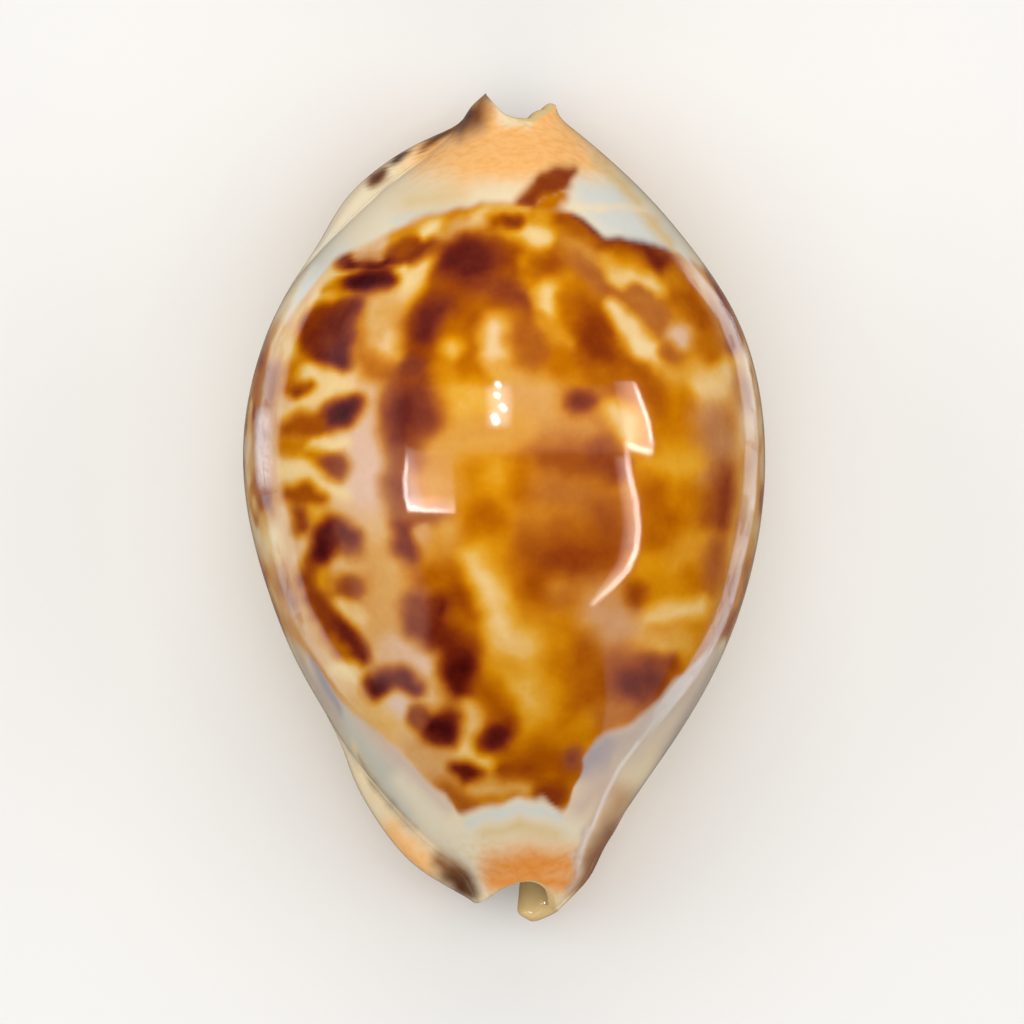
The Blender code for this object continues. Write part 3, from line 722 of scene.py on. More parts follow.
# Edges of the patterned mantle in pixels: y of its upper and of its lower edge over x.
TOP_LIMIT = (
    (60, 366), (140, 350), (210, 332), (262, 315), (290, 300), (318, 276), (332, 262), (346, 252),
    (372, 242), (400, 227), (430, 215), (460, 207), (490, 203), (520, 204), (545, 207), (572, 211),
    (590, 224), (606, 235), (630, 239), (648, 242), (664, 247), (680, 253), (700, 261), (740, 270),
    (800, 284), (870, 304), (940, 324),
)
LOW_LIMIT = (
    (60, 604), (140, 616), (210, 630), (270, 646), (300, 658), (318, 672), (334, 692), (352, 712),
    (372, 728), (392, 744), (412, 764), (432, 786), (448, 800), (457, 812), (470, 812), (490, 806),
    (510, 801), (530, 799), (549, 802), (566, 810), (575, 789), (584, 762), (597, 740), (622, 727),
    (646, 712), (662, 696), (680, 676), (706, 656), (740, 644), (800, 634), (870, 616), (940, 598),
)
LIMIT_SOFT = 10.0
# On the flanks, past this distance from the middle, the edges wander by noise and are softer.
FLANK_MIDDLE = 505.0
FLANK = (208.0, 30.0)
FLANK_SIZE = 34.0
FLANK_WANDER = 22.0
FLANK_SOFT = 2.4

# Enamel: the white and orange layer that covers the ends and the margins, as named display colours, together
# with a painted shade along the crease of the lower left callus. Each of its strokes has a colour, the width
# in pixels of its soft edge, and then its (x, y, radius) points.
PALETTE = {
    "cream": (240, 220, 182),
    "ivory": (232, 220, 194),
    "pearl": (216, 216, 208),
    "mist": (204, 201, 186),
    "lilac": (174, 162, 166),
    "rosy": (212, 186, 170),
    "apricot": (253, 192, 118),
    "orange": (234, 152, 72),
    "straw": (224, 192, 134),
    "tan": (196, 152, 108),
    # Painted shade: the grey-brown of the thin line of shade along the crease of the lower left callus.
    "crease_shade": (150, 136, 112),
    "ash": (200, 182, 168),
    "umber": (134, 80, 38),
    "sepia": (82, 48, 30),
}
ENAMEL_AND_SHADE_MARKS = (
    ("ivory", 60, (340, 260, 30), (420, 214, 14), (500, 195, 6)),
    ("pearl", 30, (334, 262, 8), (322, 274, 12), (300, 300, 14), (262, 420, 20), (270, 600, 20)),
    ("pearl", 10, (396, 221, 2), (440, 211, 1), (486, 203, 1)),
    ("straw", 28, (410, 202, 0), (440, 198, 1), (480, 190, 0)),
    ("apricot", 30, (425, 156, 8), (470, 152, 24), (510, 150, 34), (560, 146, 22), (590, 162, 6)),
    ("apricot", 20, (486, 110, 8), (510, 130, 12), (550, 120, 10)),
    ("cream", 20, (480, 194, 4), (504, 194, 6), (530, 190, 3)),
    ("pearl", 20, (584, 192, 8), (612, 206, 20), (650, 240, 20), (680, 262, 14)),
    ("straw", 10, (596, 160, 2), (624, 186, 2), (654, 224, 2), (684, 262, 1)),
    ("cream", 6, (556, 206, 1), (600, 208, 1), (646, 208, 1)),
    ("cream", 10, (496, 100, 3), (506, 120, 3), (526, 123, 3)),
    ("umber", 16, (484, 98, 3), (474, 117, 8), (460, 130, 5)),
    ("sepia", 10, (470, 114, 3), (460, 124, 3)),
    ("umber", 6, (452, 128, 2), (430, 143, 2), (420, 152, 1)),
    ("sepia", 5, (450, 128, 1), (434, 139, 1)),
    ("sepia", 5, (408, 151, 1), (398, 158, 2), (392, 162, 1)),
    ("umber", 6, (384, 170, 2), (377, 178, 4), (370, 185, 2)),
    ("sepia", 5, (381, 173, 1), (375, 181, 2)),
    ("mist", 24, (312, 676, 8), (345, 730, 14), (380, 770, 14), (410, 810, 10)),
    ("ash", 30, (262, 660, 8), (290, 692, 10), (316, 718, 5)),
    ("lilac", 16, (298, 650, 5), (316, 684, 7), (330, 704, 5)),
    ("rosy", 16, (346, 700, 3), (374, 730, 4), (412, 774, 5), (444, 808, 5)),
    ("ivory", 16, (400, 782, 5), (430, 818, 9), (452, 846, 7), (474, 876, 6), (484, 892, 3)),
    ("ivory", 20, (470, 830, 10), (520, 818, 12), (570, 828, 10)),
    ("straw", 16, (484, 834, 0), (520, 826, 1), (556, 834, 0)),
    ("pearl", 8, (470, 822, 2), (496, 812, 3), (540, 808, 3), (560, 818, 2)),
    ("orange", 24, (498, 866, 8), (530, 866, 12), (566, 864, 8)),
    ("orange", 14, (494, 882, 5), (568, 884, 5)),
    ("straw", 12, (346, 752, 3), (366, 790, 7), (392, 824, 7)),
    ("cream", 12, (344, 750, 3), (362, 788, 6), (384, 820, 6)),
    ("apricot", 20, (390, 834, 5), (406, 850, 6), (424, 866, 5)),
    # Painted shade: a thin darker line along the crease of the lower left callus, where the groove lies in
    # shade.
    ("crease_shade", 7, (352, 756, -1), (372, 782, -1), (392, 804, -1), (414, 828, -1)),
    ("umber", 14, (440, 862, 4), (454, 872, 5), (468, 886, 4)),
    ("sepia", 12, (448, 877, 3), (462, 886, 4), (472, 895, 2)),
    ("ash", 30, (600, 764, 16), (640, 724, 16), (684, 686, 14), (716, 650, 10)),
    ("ash", 34, (690, 752, 10), (728, 704, 14), (752, 668, 12)),
    ("lilac", 20, (584, 768, 5), (594, 754, 6), (606, 742, 4)),
    ("rosy", 20, (602, 784, 5), (580, 806, 6)),
    ("rosy", 20, (690, 690, 6), (720, 640, 8), (740, 590, 8)),
    ("tan", 22, (622, 800, 8), (608, 838, 9), (592, 878, 8)),
    ("umber", 18, (612, 834, 5), (602, 858, 8), (588, 886, 7)),
    ("rosy", 6, (616, 758, 1), (604, 797, 1), (586, 834, 1), (578, 854, 1), (579, 870, 1), (571, 891, 1)),
)


def channel_of(value):
    """A display value of 0 to 255 as the shader's linear one."""
    value = value / 255.0
    return value / 12.92 if value <= 0.04045 else ((value + 0.055) / 1.055) ** 2.4


def linear(red, green, blue):
    return channel_of(red), channel_of(green), channel_of(blue), 1.0


def palette(name):
    return np.array(linear(*PALETTE[name])[:3])


def paint(px, py, marks, depth, rose, share):
    """Lays strokes over the depth and how rose it is, and also returns how much they cover in all."""
    total = np.zeros(len(px))
    for value, purple, soft, *points in marks:
        cover = cover_of(px, py, soft, points)
        depth = depth + (value - depth) * cover * share
        rose = rose + (purple - rose) * cover * share
        total = np.maximum(total, cover)
    return depth, rose, total


# Lays the enamel colours, and among them the painted shade along the callus crease.
def enamel_and_shade_at(px, py):
    colour = np.tile(palette("cream"), (len(px), 1))
    for name, soft, *points in ENAMEL_AND_SHADE_MARKS:
        colour = colour + (palette(name) - colour) * cover_of(px, py, soft, points)[:, None]
    return colour


def pattern_at(px, py):
    """The fields that colour the dorsum, at pixels of the photograph."""
    wx, wy = warped(px, py)
    depth, rose, _ = paint(wx, wy, MARKS, GROUND_DEPTH, GROUND_ROSE, 1.0)
    depth = depth + CLOUD_DEPTH * soft_noise(px / CLOUD_SIZE, py / CLOUD_SIZE, 5)

    outside = np.maximum(spline(TOP_LIMIT, wx) - wy, wy - spline(LOW_LIMIT, wx))
    flank = step(np.abs(px - FLANK_MIDDLE), *FLANK)
    outside = outside + FLANK_WANDER * flank * soft_noise(px / FLANK_SIZE, py / FLANK_SIZE, 6)
    shroud = smooth(0.5 + outside / (LIMIT_SOFT * (1.0 + FLANK_SOFT * flank)))
    depth, rose, flag = paint(wx, wy, FLAG, depth, rose, shroud)
    shroud = shroud * (1.0 - flag)
    return {"depth": depth, "rose": rose, "shroud": shroud, "enamel": enamel_and_shade_at(wx, wy)}


# Pigment: display colours over its depth, of the golden and of the rose kind.
GOLD_PIGMENT = (
    (0.00, (240, 212, 152)), (0.14, (234, 192, 118)), (0.28, (224, 164, 48)), (0.40, (214, 140, 8)),
    (0.52, (194, 112, 0)), (0.64, (168, 84, 0)), (0.76, (142, 58, 4)), (0.88, (108, 30, 8)),
    (1.00, (70, 10, 6)),
)
ROSE_PIGMENT = (
    (0.00, (226, 198, 180)), (0.14, (220, 178, 150)), (0.28, (206, 154, 112)), (0.40, (192, 134, 86)),
    (0.52, (174, 110, 64)), (0.64, (156, 88, 56)), (0.76, (134, 66, 48)), (0.88, (102, 44, 40)),
    (1.00, (60, 20, 28)),
)


# Margins: where each colour lies, in degrees round the section or millimetres along the shell. A pair is the
# start and the run of a step, or the end and the run of a fall. Past UNROLL_FROM the surface is too steep to
# be read from above, so the pattern goes on along the surface there, though not at the ends.
UNROLL_FROM = 61.0
ENDS = (19.0, 8.0)
RIM = (57.0, 9.0)
RIM_OUTER = (70.0, 7.0)
RIM_FAR = (77.0, 8.0)
RIM_WANDER = 26.0
RIM_WANDER_SIZE = 30.0
# Noise of the rims: sizes in pixels, how much of it the fine one is, and what it adds to the tones.
RIM_BLOTCH = (52.0, 40.0)
RIM_FLECK = (24.0, 20.0)
RIM_FLECK_SHARE = 0.4
INNER_BLOTCH = 0.20
OUTER_BLOTCH = 0.36
OUTER_ROSE = 0.35
FAR_SPOTS = (-0.3, 1.0)
FAR_DEPTH = (0.16, 0.56)
FAR_ROSE = (0.45, 0.4)
# The steep faces of both ends sway the marks, which would run straight down there otherwise.
SWAY = (92.0, 8.0)
SWAY_REACH = 16.0
SWAY_SIZE = (8.0, 2.0)

# Pigment beneath the rims, from the top of the photograph down: y in pixels, depth and how rose
# it is at the inner part, and depth farther out.
LEFT_RIM = (
    (270, 0.10, 0.40, 0.10), (300, 0.26, 0.30, 0.35), (345, 0.18, 0.00, 0.56), (368, 0.46, 0.90, 0.74),
    (392, 0.52, 1.00, 0.72), (414, 0.44, 0.90, 0.60), (426, 0.46, 0.90, 0.12), (474, 0.46, 0.90, 0.10),
    (486, 0.50, 0.80, 0.56), (504, 0.50, 0.80, 0.50), (516, 0.26, 0.60, 0.12), (540, 0.10, 0.10, 0.10),
    (566, 0.28, 0.70, 0.24), (596, 0.42, 1.00, 0.40), (624, 0.24, 0.60, 0.40), (650, 0.30, 0.60, 0.36),
    (680, 0.42, 0.90, 0.30),
)
RIGHT_RIM = (
    (250, 0.40, 0.80, 0.50), (276, 0.24, 0.60, 0.62), (306, 0.44, 0.80, 0.66), (338, 0.50, 0.80, 0.66),
    (362, 0.20, 0.20, 0.22), (396, 0.38, 1.00, 0.20), (430, 0.24, 0.60, 0.20), (520, 0.30, 0.70, 0.24),
    (548, 0.34, 0.80, 0.36), (600, 0.42, 0.80, 0.38), (630, 0.46, 0.90, 0.50), (670, 0.38, 0.90, 0.44),
)

# Base: where it starts, and its flush, its blotches and its teeth, with noise sizes in millimetres along the
# shell and degrees round it, and with the share of each colour that is laid.
BASE_START = 90.0
BASE_RUN = 14.0
CALLUS_EXTRA = 11.0
BASE_WANDER = 9.0
BASE_WANDER_LENGTH = 5.0
FLUSH_SIZE = (16.0, 40.0)
FLUSH_SHIFT = 9.0
STRAW_COVER = 0.45
STRAW_NOISE = 0.6
END_FLUSH = (18.0, 16.0)
END_FLUSH_COVER = 0.5
LOW_FLUSH = (130.0, 30.0)
LOW_FLUSH_COVER = 0.25
BLOTCH_SIZE = (6.5, 24.0)
BLOTCH_SHIFT = 5.0
BLOTCH_START = (96.0, 10.0)
BLOTCH_END = (132.0, 26.0)
BLOTCH_COVER = 0.8
TAN_SPOTS = (-0.1, 0.5)
UMBER_SPOTS = (0.15, 0.45)
LIP_TINT = (0.84, 0.05)
GAP_FADE = (0.985, 0.03)
GAP_COVER = 0.45
# Inside: it is pearl in the middle and straw near the ends.
CAVITY = (22.0, 12.0)
# Grain of the orange zones at the ends, in pixels of the photograph, and how much of it lies elsewhere.
GRAIN_TOP = (196.0, 40.0)
GRAIN_LOW = (826.0, 40.0)
GRAIN_LEAST = 0.12


def base_colour(y, turn, s):
    """Colours of the base: cream with an apricot flush, brown blotches along the margin, and pale teeth."""
    side = np.sign(s)
    colour = np.tile(palette("cream"), (len(s), 1))

    def lay(name, cover):
        return colour + (palette(name) - colour) * np.clip(cover, 0.0, 1.0)[:, None]

    flush = soft_noise(y / FLUSH_SIZE[0] + FLUSH_SHIFT * side, turn / FLUSH_SIZE[1], 11)
    colour = lay("straw", STRAW_COVER + STRAW_NOISE * flush)
    end_flush = END_FLUSH_COVER * step(np.abs(y), *END_FLUSH)
    colour = lay("apricot", end_flush + LOW_FLUSH_COVER * step(turn, *LOW_FLUSH))
    spots = soft_noise(y / BLOTCH_SIZE[0] + BLOTCH_SHIFT * side, turn / BLOTCH_SIZE[1], 12)
    zone = step(turn, *BLOTCH_START) * fall(turn, *BLOTCH_END)
    colour = lay("tan", BLOTCH_COVER * step(spots, *TAN_SPOTS) * zone)
    colour = lay("umber", BLOTCH_COVER * step(spots, *UMBER_SPOTS) * zone)
    lip = step(np.abs(s), *LIP_TINT)
    colour = lay("ivory", lip)
    gap = 0.5 - 0.5 * np.cos(2.0 * math.pi * y / TOOTH_PITCH)
    return lay("apricot", GAP_COVER * lip * gap * fall(np.abs(s), *GAP_FADE))


def unrolled(grid, px, ends):
    """The pixels across the shell, which past UNROLL_FROM count along the surface, except at the ends."""
    steps = np.linalg.norm(np.diff(grid.outer[:, :, (0, 2)], axis=1), axis=2)
    along_row = np.concatenate([np.zeros((len(steps), 1)), np.cumsum(steps, axis=1)], axis=1) / PIXEL
    middle = len(grid.s) // 2
    reach = np.count_nonzero(turn_of(grid.s[middle:]) <= UNROLL_FROM) - 1
    rolled = px.copy()
    for side, edge in ((-1, middle - reach), (1, middle + reach)):
        outside = slice(0, edge) if side < 0 else slice(edge + 1, None)
        rolled[:, outside] = px[:, edge:edge + 1] + along_row[:, outside] - along_row[:, edge:edge + 1]
    return rolled + (px - rolled) * ends


def mantle_fields(grid):
    """The fields that colour every outer point, from its pixel and how far round the wall it lies."""
    rows, count = grid.outer.shape[:2]
    s = np.tile(grid.s, rows)
    turn = turn_of(s)
    y = grid.outer[:, :, 1].ravel()
    px, py = pixels_of(grid.outer.reshape(-1, 3))
    ends = step(np.abs(y), *ENDS)
    px = unrolled(grid, px.reshape(rows, count), ends.reshape(rows, count)).ravel()
    steep = ends * step(turn, *SWAY)
    px = px + SWAY_REACH * steep * soft_noise(turn / SWAY_SIZE[0], y / SWAY_SIZE[1], 25)
    py = py + SWAY_REACH * steep * soft_noise(turn / SWAY_SIZE[0], y / SWAY_SIZE[1], 26)
    fields = pattern_at(px, py)

    blotch = soft_noise(px / RIM_BLOTCH[0], py / RIM_BLOTCH[1], 21)
    blotch = blotch + RIM_FLECK_SHARE * soft_noise(px / RIM_FLECK[0], py / RIM_FLECK[1], 22)
    left, right = np.array(LEFT_RIM).T, np.array(RIGHT_RIM).T
    place = py + RIM_WANDER * soft_noise(px / RIM_WANDER_SIZE, py / RIM_WANDER_SIZE, 24)

    def rim_tone(column):
        left_tone = np.interp(place, left[0], left[column])
        right_tone = np.interp(place, right[0], right[column])
        return np.where(s < 0.0, left_tone, right_tone)

    rim = step(turn, *RIM)
    outer = step(turn, *RIM_OUTER)
    far = step(turn, *RIM_FAR)
    far_depth = FAR_DEPTH[0] + FAR_DEPTH[1] * step(blotch, *FAR_SPOTS)
    tones = {
        "depth": (rim_tone(1) + INNER_BLOTCH * blotch, rim_tone(3) + OUTER_BLOTCH * blotch, far_depth),
        "rose": (rim_tone(2), OUTER_ROSE, FAR_ROSE[0] + FAR_ROSE[1] * blotch),
    }
    for name, (inner_tone, outer_tone, far_tone) in tones.items():
        tone = inner_tone + (outer_tone - inner_tone) * outer
        tone = tone + (far_tone - tone) * far
        fields[name] = fields[name] + (tone - fields[name]) * rim

    wander = BASE_WANDER * soft_noise(y / BASE_WANDER_LENGTH, s, 23)
    under = step(turn, BASE_START + CALLUS_EXTRA * ends * (s < 0.0) + wander, BASE_RUN)
    fields["shroud"] = np.maximum(fields["shroud"], under)
    fields["enamel"] = fields["enamel"] + (base_colour(y, turn, s) - fields["enamel"]) * under[:, None]
    grain = np.maximum(fall(py, *GRAIN_TOP), step(py, *GRAIN_LOW))
    fields["grain"] = GRAIN_LEAST + (1.0 - GRAIN_LEAST) * grain * (1.0 - under)
    return fields


def link_new(name, data):
    """A new object in the scene."""
    thing = bpy.data.objects.new(name, data)
    bpy.context.scene.collection.objects.link(thing)
    return thing


def shell_piece():
    """The shell as one smooth mesh, with the fields that its material reads at every point."""
    grid = ShellGrid()
    points, faces = grid.build()
    points = np.clip(points, np.array(CAD_LOW) / MM, np.array(CAD_HIGH) / MM)
    mesh = bpy.data.meshes.new("cowrie_shell")
    mesh.from_pydata((points * MM).tolist(), [], faces)
    mesh.update()
    mesh.shade_smooth()

    rows, count = grid.outer.shape[:2]
    outer = rows * count
    fields = mantle_fields(grid)
    inside = {"depth": 0.0, "rose": 0.0, "shroud": 1.0, "grain": 0.0}
    for name, value in inside.items():
        full = np.full(len(points), value)
        full[:outer] = fields[name]
        attribute = mesh.attributes.new(name, "FLOAT", "POINT")
        attribute.data.foreach_set("value", full.astype(np.float32))
    colours = np.ones((len(points), 4))
    near_end = step(np.abs(points[:, 1]), *CAVITY)[:, None]
    colours[:, :3] = palette("pearl") + (palette("straw") - palette("pearl")) * near_end
    colours[:outer, :3] = fields["enamel"]
    attribute = mesh.attributes.new("enamel", "FLOAT_COLOR", "POINT")
    attribute.data.foreach_set("color", colours.astype(np.float32).ravel())
    return link_new("cowrie_shell", mesh), grid


def ramp(nodes, stops):
    """A colour ramp with its stops as (place, display colour)."""
    node = nodes.new("ShaderNodeValToRGB")
    elements = node.color_ramp.elements
    for place, colour in stops[1:-1]:
        elements.new(place).color = linear(*colour)
    elements[0].position, elements[0].color = stops[0][0], linear(*stops[0][1])
    elements[-1].position, elements[-1].color = stops[-1][0], linear(*stops[-1][1])
    return node


# Shell material: sizes of its fine noises, how far they shift the pigment, and its gloss.
MOTTLE_SCALE = 420.0
MOTTLE_DEPTH = 0.12
SPECK_SCALE = 1500.0
SPECK_DEPTH = 0.06
GRAIN_SCALE = 1100.0
GRAIN_TINT = (0.93, 0.76, 0.52, 1.0)
GRAIN_FROM = 0.42
GRAIN_GAIN = 2.6
GLOSS_ROUGHNESS = 0.06
GLOSS_IOR = 1.5
RIPPLE_SCALE = 160.0
RIPPLE_HEIGHT = 0.00002


def shell_material():
    material = bpy.data.materials.new("cowrie_enamel")
    material.use_nodes = True
    tree = material.node_tree
    nodes, links = tree.nodes, tree.links
    surface = nodes["Principled BSDF"]

    def attribute(name, output):
        node = nodes.new("ShaderNodeAttribute")
        node.attribute_name = name
        return node.outputs[output]

    def feed(socket, value):
        if isinstance(value, (int, float, tuple)):
            socket.default_value = value
        else:
            links.new(value, socket)

    def calculate(operation, first, second):
        node = nodes.new("ShaderNodeMath")
        node.operation = operation
        feed(node.inputs[0], first)
        feed(node.inputs[1], second)
        return node.outputs[0]

    def mix(factor, first, second, blend="MIX"):
        node = nodes.new("ShaderNodeMix")
        node.data_type = "RGBA"
        node.blend_type = blend
        feed(node.inputs[0], factor)
        feed(node.inputs[6], first)
        feed(node.inputs[7], second)
        return node.outputs[2]

    coordinates = nodes.new("ShaderNodeTexCoord")

    def noise(scale, detail):
        node = nodes.new("ShaderNodeTexNoise")
        node.inputs["Scale"].default_value = scale
        node.inputs["Detail"].default_value = detail
        links.new(coordinates.outputs["Object"], node.inputs["Vector"])
        return node.outputs["Fac"]

    def centred(value, size):
        return calculate("MULTIPLY", calculate("SUBTRACT", value, 0.5), size)

    mottle = centred(noise(MOTTLE_SCALE, 3.0), MOTTLE_DEPTH)
    speck = centred(noise(SPECK_SCALE, 2.0), SPECK_DEPTH)
    depth = calculate("ADD", attribute("depth", "Fac"), calculate("ADD", mottle, speck))
    gold = ramp(nodes, GOLD_PIGMENT)
    rose = ramp(nodes, ROSE_PIGMENT)
    links.new(depth, gold.inputs["Fac"])
    links.new(depth, rose.inputs["Fac"])
    pigment = mix(attribute("rose", "Fac"), gold.outputs["Color"], rose.outputs["Color"])

    grain = calculate("MULTIPLY", calculate("SUBTRACT", noise(GRAIN_SCALE, 4.0), GRAIN_FROM), GRAIN_GAIN)
    grain = calculate("MULTIPLY", grain, attribute("grain", "Fac"))
    enamel = mix(grain, attribute("enamel", "Color"), GRAIN_TINT, "MULTIPLY")
    colour = mix(attribute("shroud", "Fac"), pigment, enamel)
    links.new(colour, surface.inputs["Base Color"])

    surface.inputs["Roughness"].default_value = GLOSS_ROUGHNESS
    surface.inputs["IOR"].default_value = GLOSS_IOR
    bump = nodes.new("ShaderNodeBump")
    bump.inputs["Distance"].default_value = RIPPLE_HEIGHT
    bump.inputs["Strength"].default_value = 1.0
    links.new(noise(RIPPLE_SCALE, 1.0), bump.inputs["Height"])
    links.new(bump.outputs["Normal"], surface.inputs["Normal"])
    return material


# Studio: its floor and its world.
FLOOR_HALF = 3.0
FLOOR_COLOUR = (0.80, 0.79, 0.77, 1.0)
WORLD_COLOUR = (1.0, 0.99, 0.97, 1.0)
WORLD_STRENGTH = 0.25

# Mirrored shapes, in pixels of the photograph. A patch has two edges, its brightness at their four ends
# (start and end of the first edge, then of the second) and the share of its width that fades at the edges. A
# line has a brightness, a width, how steeply it rises from its edges and the points it runs through.
CARD_DISTANCE = 900.0
CARD_ABOVE_FLOOR = 0.5
CARD_STEPS = 40
CARD_WIDTH_STEPS = 12
LINE_END = 5.5
WARM_GLOW = (1.0, 0.90, 0.86, 1.0)
COOL_GLOW = (0.66, 0.86, 1.0, 1.0)
PATCHES = {
    "left_window": (((408, 450), (406, 480), (409, 509)), ((455, 450), (456, 480), (457, 510)),
                    (2.0, 5.5, 0.4, 2.2), 0.04),
    "left_window_side": (((405, 446), (404, 480), (406, 512)), ((416, 446), (420, 480), (426, 512)),
                         (2.0, 11.0, 0.2, 0.6), 0.04),
    "left_window_foot": (((408, 492), (430, 494), (455, 496)), ((409, 511), (430, 513), (456, 514)),
                         (0.2, 0.2, 11.0, 8.0), 0.04),
    "left_window_corner": (((412, 528), (416, 540), (424, 548)), ((430, 520), (430, 528), (432, 536)),
                           (2.2, 0.6, 1.2, 0.3), 0.1),
    "right_window": (((612, 380), (622, 420), (628, 454)), ((635, 380), (648, 420), (654, 454)),
                     (0.4, 4.0, 6.0, 9.0), 0.05),
    "right_window_low": (((614, 456), (622, 520), (618, 560), (586, 606)),
                         ((627, 456), (637, 520), (638, 556), (592, 608)), (0.2, 0.4, 6.0, 9.0), 0.05),
    "overhead_veil": (((406, 384), (408, 420), (408, 455)), ((634, 384), (646, 420), (650, 455)),
                      (0.15, 0.3, 0.6, 0.8), 0.12),
    "left_veil": (((366, 275), (322, 360), (318, 410), (334, 533), (350, 600), (372, 690)),
                  ((402, 280), (405, 400), (405, 450), (412, 520), (432, 600), (432, 720)),
                  (0.15, 0.5, 0.25, 0.7), 0.12),
    "low_right_veil": (((594, 606), (600, 650), (605, 700), (600, 740)),
                       ((690, 606), (680, 650), (660, 690), (640, 730)), (0.85, 0.6, 0.2, 0.25), 0.06),
}
LINES = {
    "left_bracket": (19.0, 5, 1.0, (
        (408, 452), (405, 480), (406, 497), (409, 507), (424, 510), (455, 511))),
    "right_bracket": (22.0, 5, 1.0, ((634, 380), (640, 398), (648, 420), (653, 451))),
    "right_bracket_foot": (18.0, 8, 1.0, ((625, 444), (638, 450), (654, 454))),
    "right_bracket_low": (17.0, 7, 1.0, (
        (625, 438), (629, 472), (636, 500), (639, 530), (637, 550), (628, 570), (612, 587), (590, 607))),
    "highlight_1": (60.0, 5, 1.0, ((497, 384), (499, 386))),
    "highlight_2": (50.0, 5, 1.0, ((496, 395), (498, 396))),
    "highlight_3": (60.0, 6, 1.0, ((502, 406), (504, 408))),
    "highlight_4": (70.0, 8, 1.0, ((494, 417), (496, 421))),
    "highlight_glow": (8.0, 30, 1.0, ((497, 382), (500, 404), (498, 430))),
    "left_strip": (1.15, 25, 2.2, (
        (326, 262), (302, 303), (282, 345), (273, 395), (267, 440), (270, 485), (279, 522), (288, 570),
        (300, 610), (322, 648), (345, 681), (370, 712))),
    "left_strip_middle": (2.8, 22, 1.0, ((266, 404), (264, 425), (264, 450), (265, 472), (268, 494))),
    "right_strip": (1.3, 15, 2.2, (
        (668, 246), (682, 261), (696, 280), (713, 300), (726, 320), (742, 360), (750, 410), (752, 440),
        (749, 500), (742, 540), (728, 600), (714, 634), (693, 671), (666, 706), (640, 740))),
    "right_strip_low": (1.6, 6, 1.0, (
        (666, 706), (640, 740), (619, 768), (604, 798), (592, 829), (580, 852), (577, 874))),
}
COOL_CARDS = (
    "left_strip", "left_strip_middle", "right_strip", "right_strip_low", "left_veil",
    "highlight_1", "highlight_2", "highlight_3", "highlight_4", "highlight_glow",
)

# Glow of the pale floor close round the shell, mirrored in its margins: radii as shares of the shell's half
# length and half width, with the brightness there.
FLOOR_GLOW = ((0.70, 0.0), (0.95, 0.16), (1.25, 0.16), (1.9, 0.0))
FLOOR_GLOW_STEPS = 64

# Lights: place, target, size and power.
LIGHTS = {
    "overhead": ((0.0, 0.0, 1.3), (0.0, 0.0, 0.0), 1.4, 8.8),
    "posterior": ((0.0, 1.1, 0.75), (0.0, 0.0, 0.02), 0.9, 6.2),
    "anterior": ((0.0, -1.1, 0.75), (0.0, 0.0, 0.02), 0.9, 3.4),
    "left_side": ((-1.0, 0.2, 0.7), (0.0, 0.0, 0.02), 0.9, 4.3),
    "right_side": ((1.0, 0.1, 0.7), (0.0, 0.0, 0.02), 0.9, 4.3),
}


def make_floor():
    mesh = bpy.data.meshes.new("floor")
    size = FLOOR_HALF
    corners = [(-size, -size, 0.0), (size, -size, 0.0), (size, size, 0.0), (-size, size, 0.0)]
    mesh.from_pydata(corners, [], [(0, 1, 2, 3)])
    material = bpy.data.materials.new("pale_floor")
    material.use_nodes = True
    surface = material.node_tree.nodes["Principled BSDF"]
    surface.inputs["Base Color"].default_value = FLOOR_COLOUR
    surface.inputs["Roughness"].default_value = 1.0
    surface.inputs["Specular IOR Level"].default_value = 0.0
    mesh.materials.append(material)
    floor = link_new("floor", mesh)
    floor.visible_glossy = False


def soft_light(name, place, target, size, power):
    """An area light that lights surfaces softly and isn't itself mirrored in the gloss."""
    data = bpy.data.lights.new(name, "AREA")
    data.size = size
    data.energy = power
    light = link_new(name, data)
    light.location = place
    light.rotation_mode = "QUATERNION"
    light.rotation_quaternion = (Vector(target) - Vector(place)).to_track_quat("-Z", "Y")
    light.visible_glossy = False
    light.visible_camera = False


def make_world():
    world = bpy.data.worlds.new("studio")
    bpy.context.scene.world = world
    world.use_nodes = True
    background = world.node_tree.nodes["Background"]
    background.inputs["Color"].default_value = WORLD_COLOUR
    background.inputs["Strength"].default_value = WORLD_STRENGTH
    world.cycles_visibility.glossy = False


def make_camera():
    data = bpy.data.cameras.new("camera")
    data.sensor_width = SENSOR
    data.lens = LENS
    data.clip_start = 0.01
    data.clip_end = 20.0
    camera = link_new("camera", data)
    camera.location = (CAMERA_X * MM, CAMERA_Y * MM, (MARGIN_LEVEL + CAMERA_ABOVE) * MM)
    bpy.context.scene.camera = camera


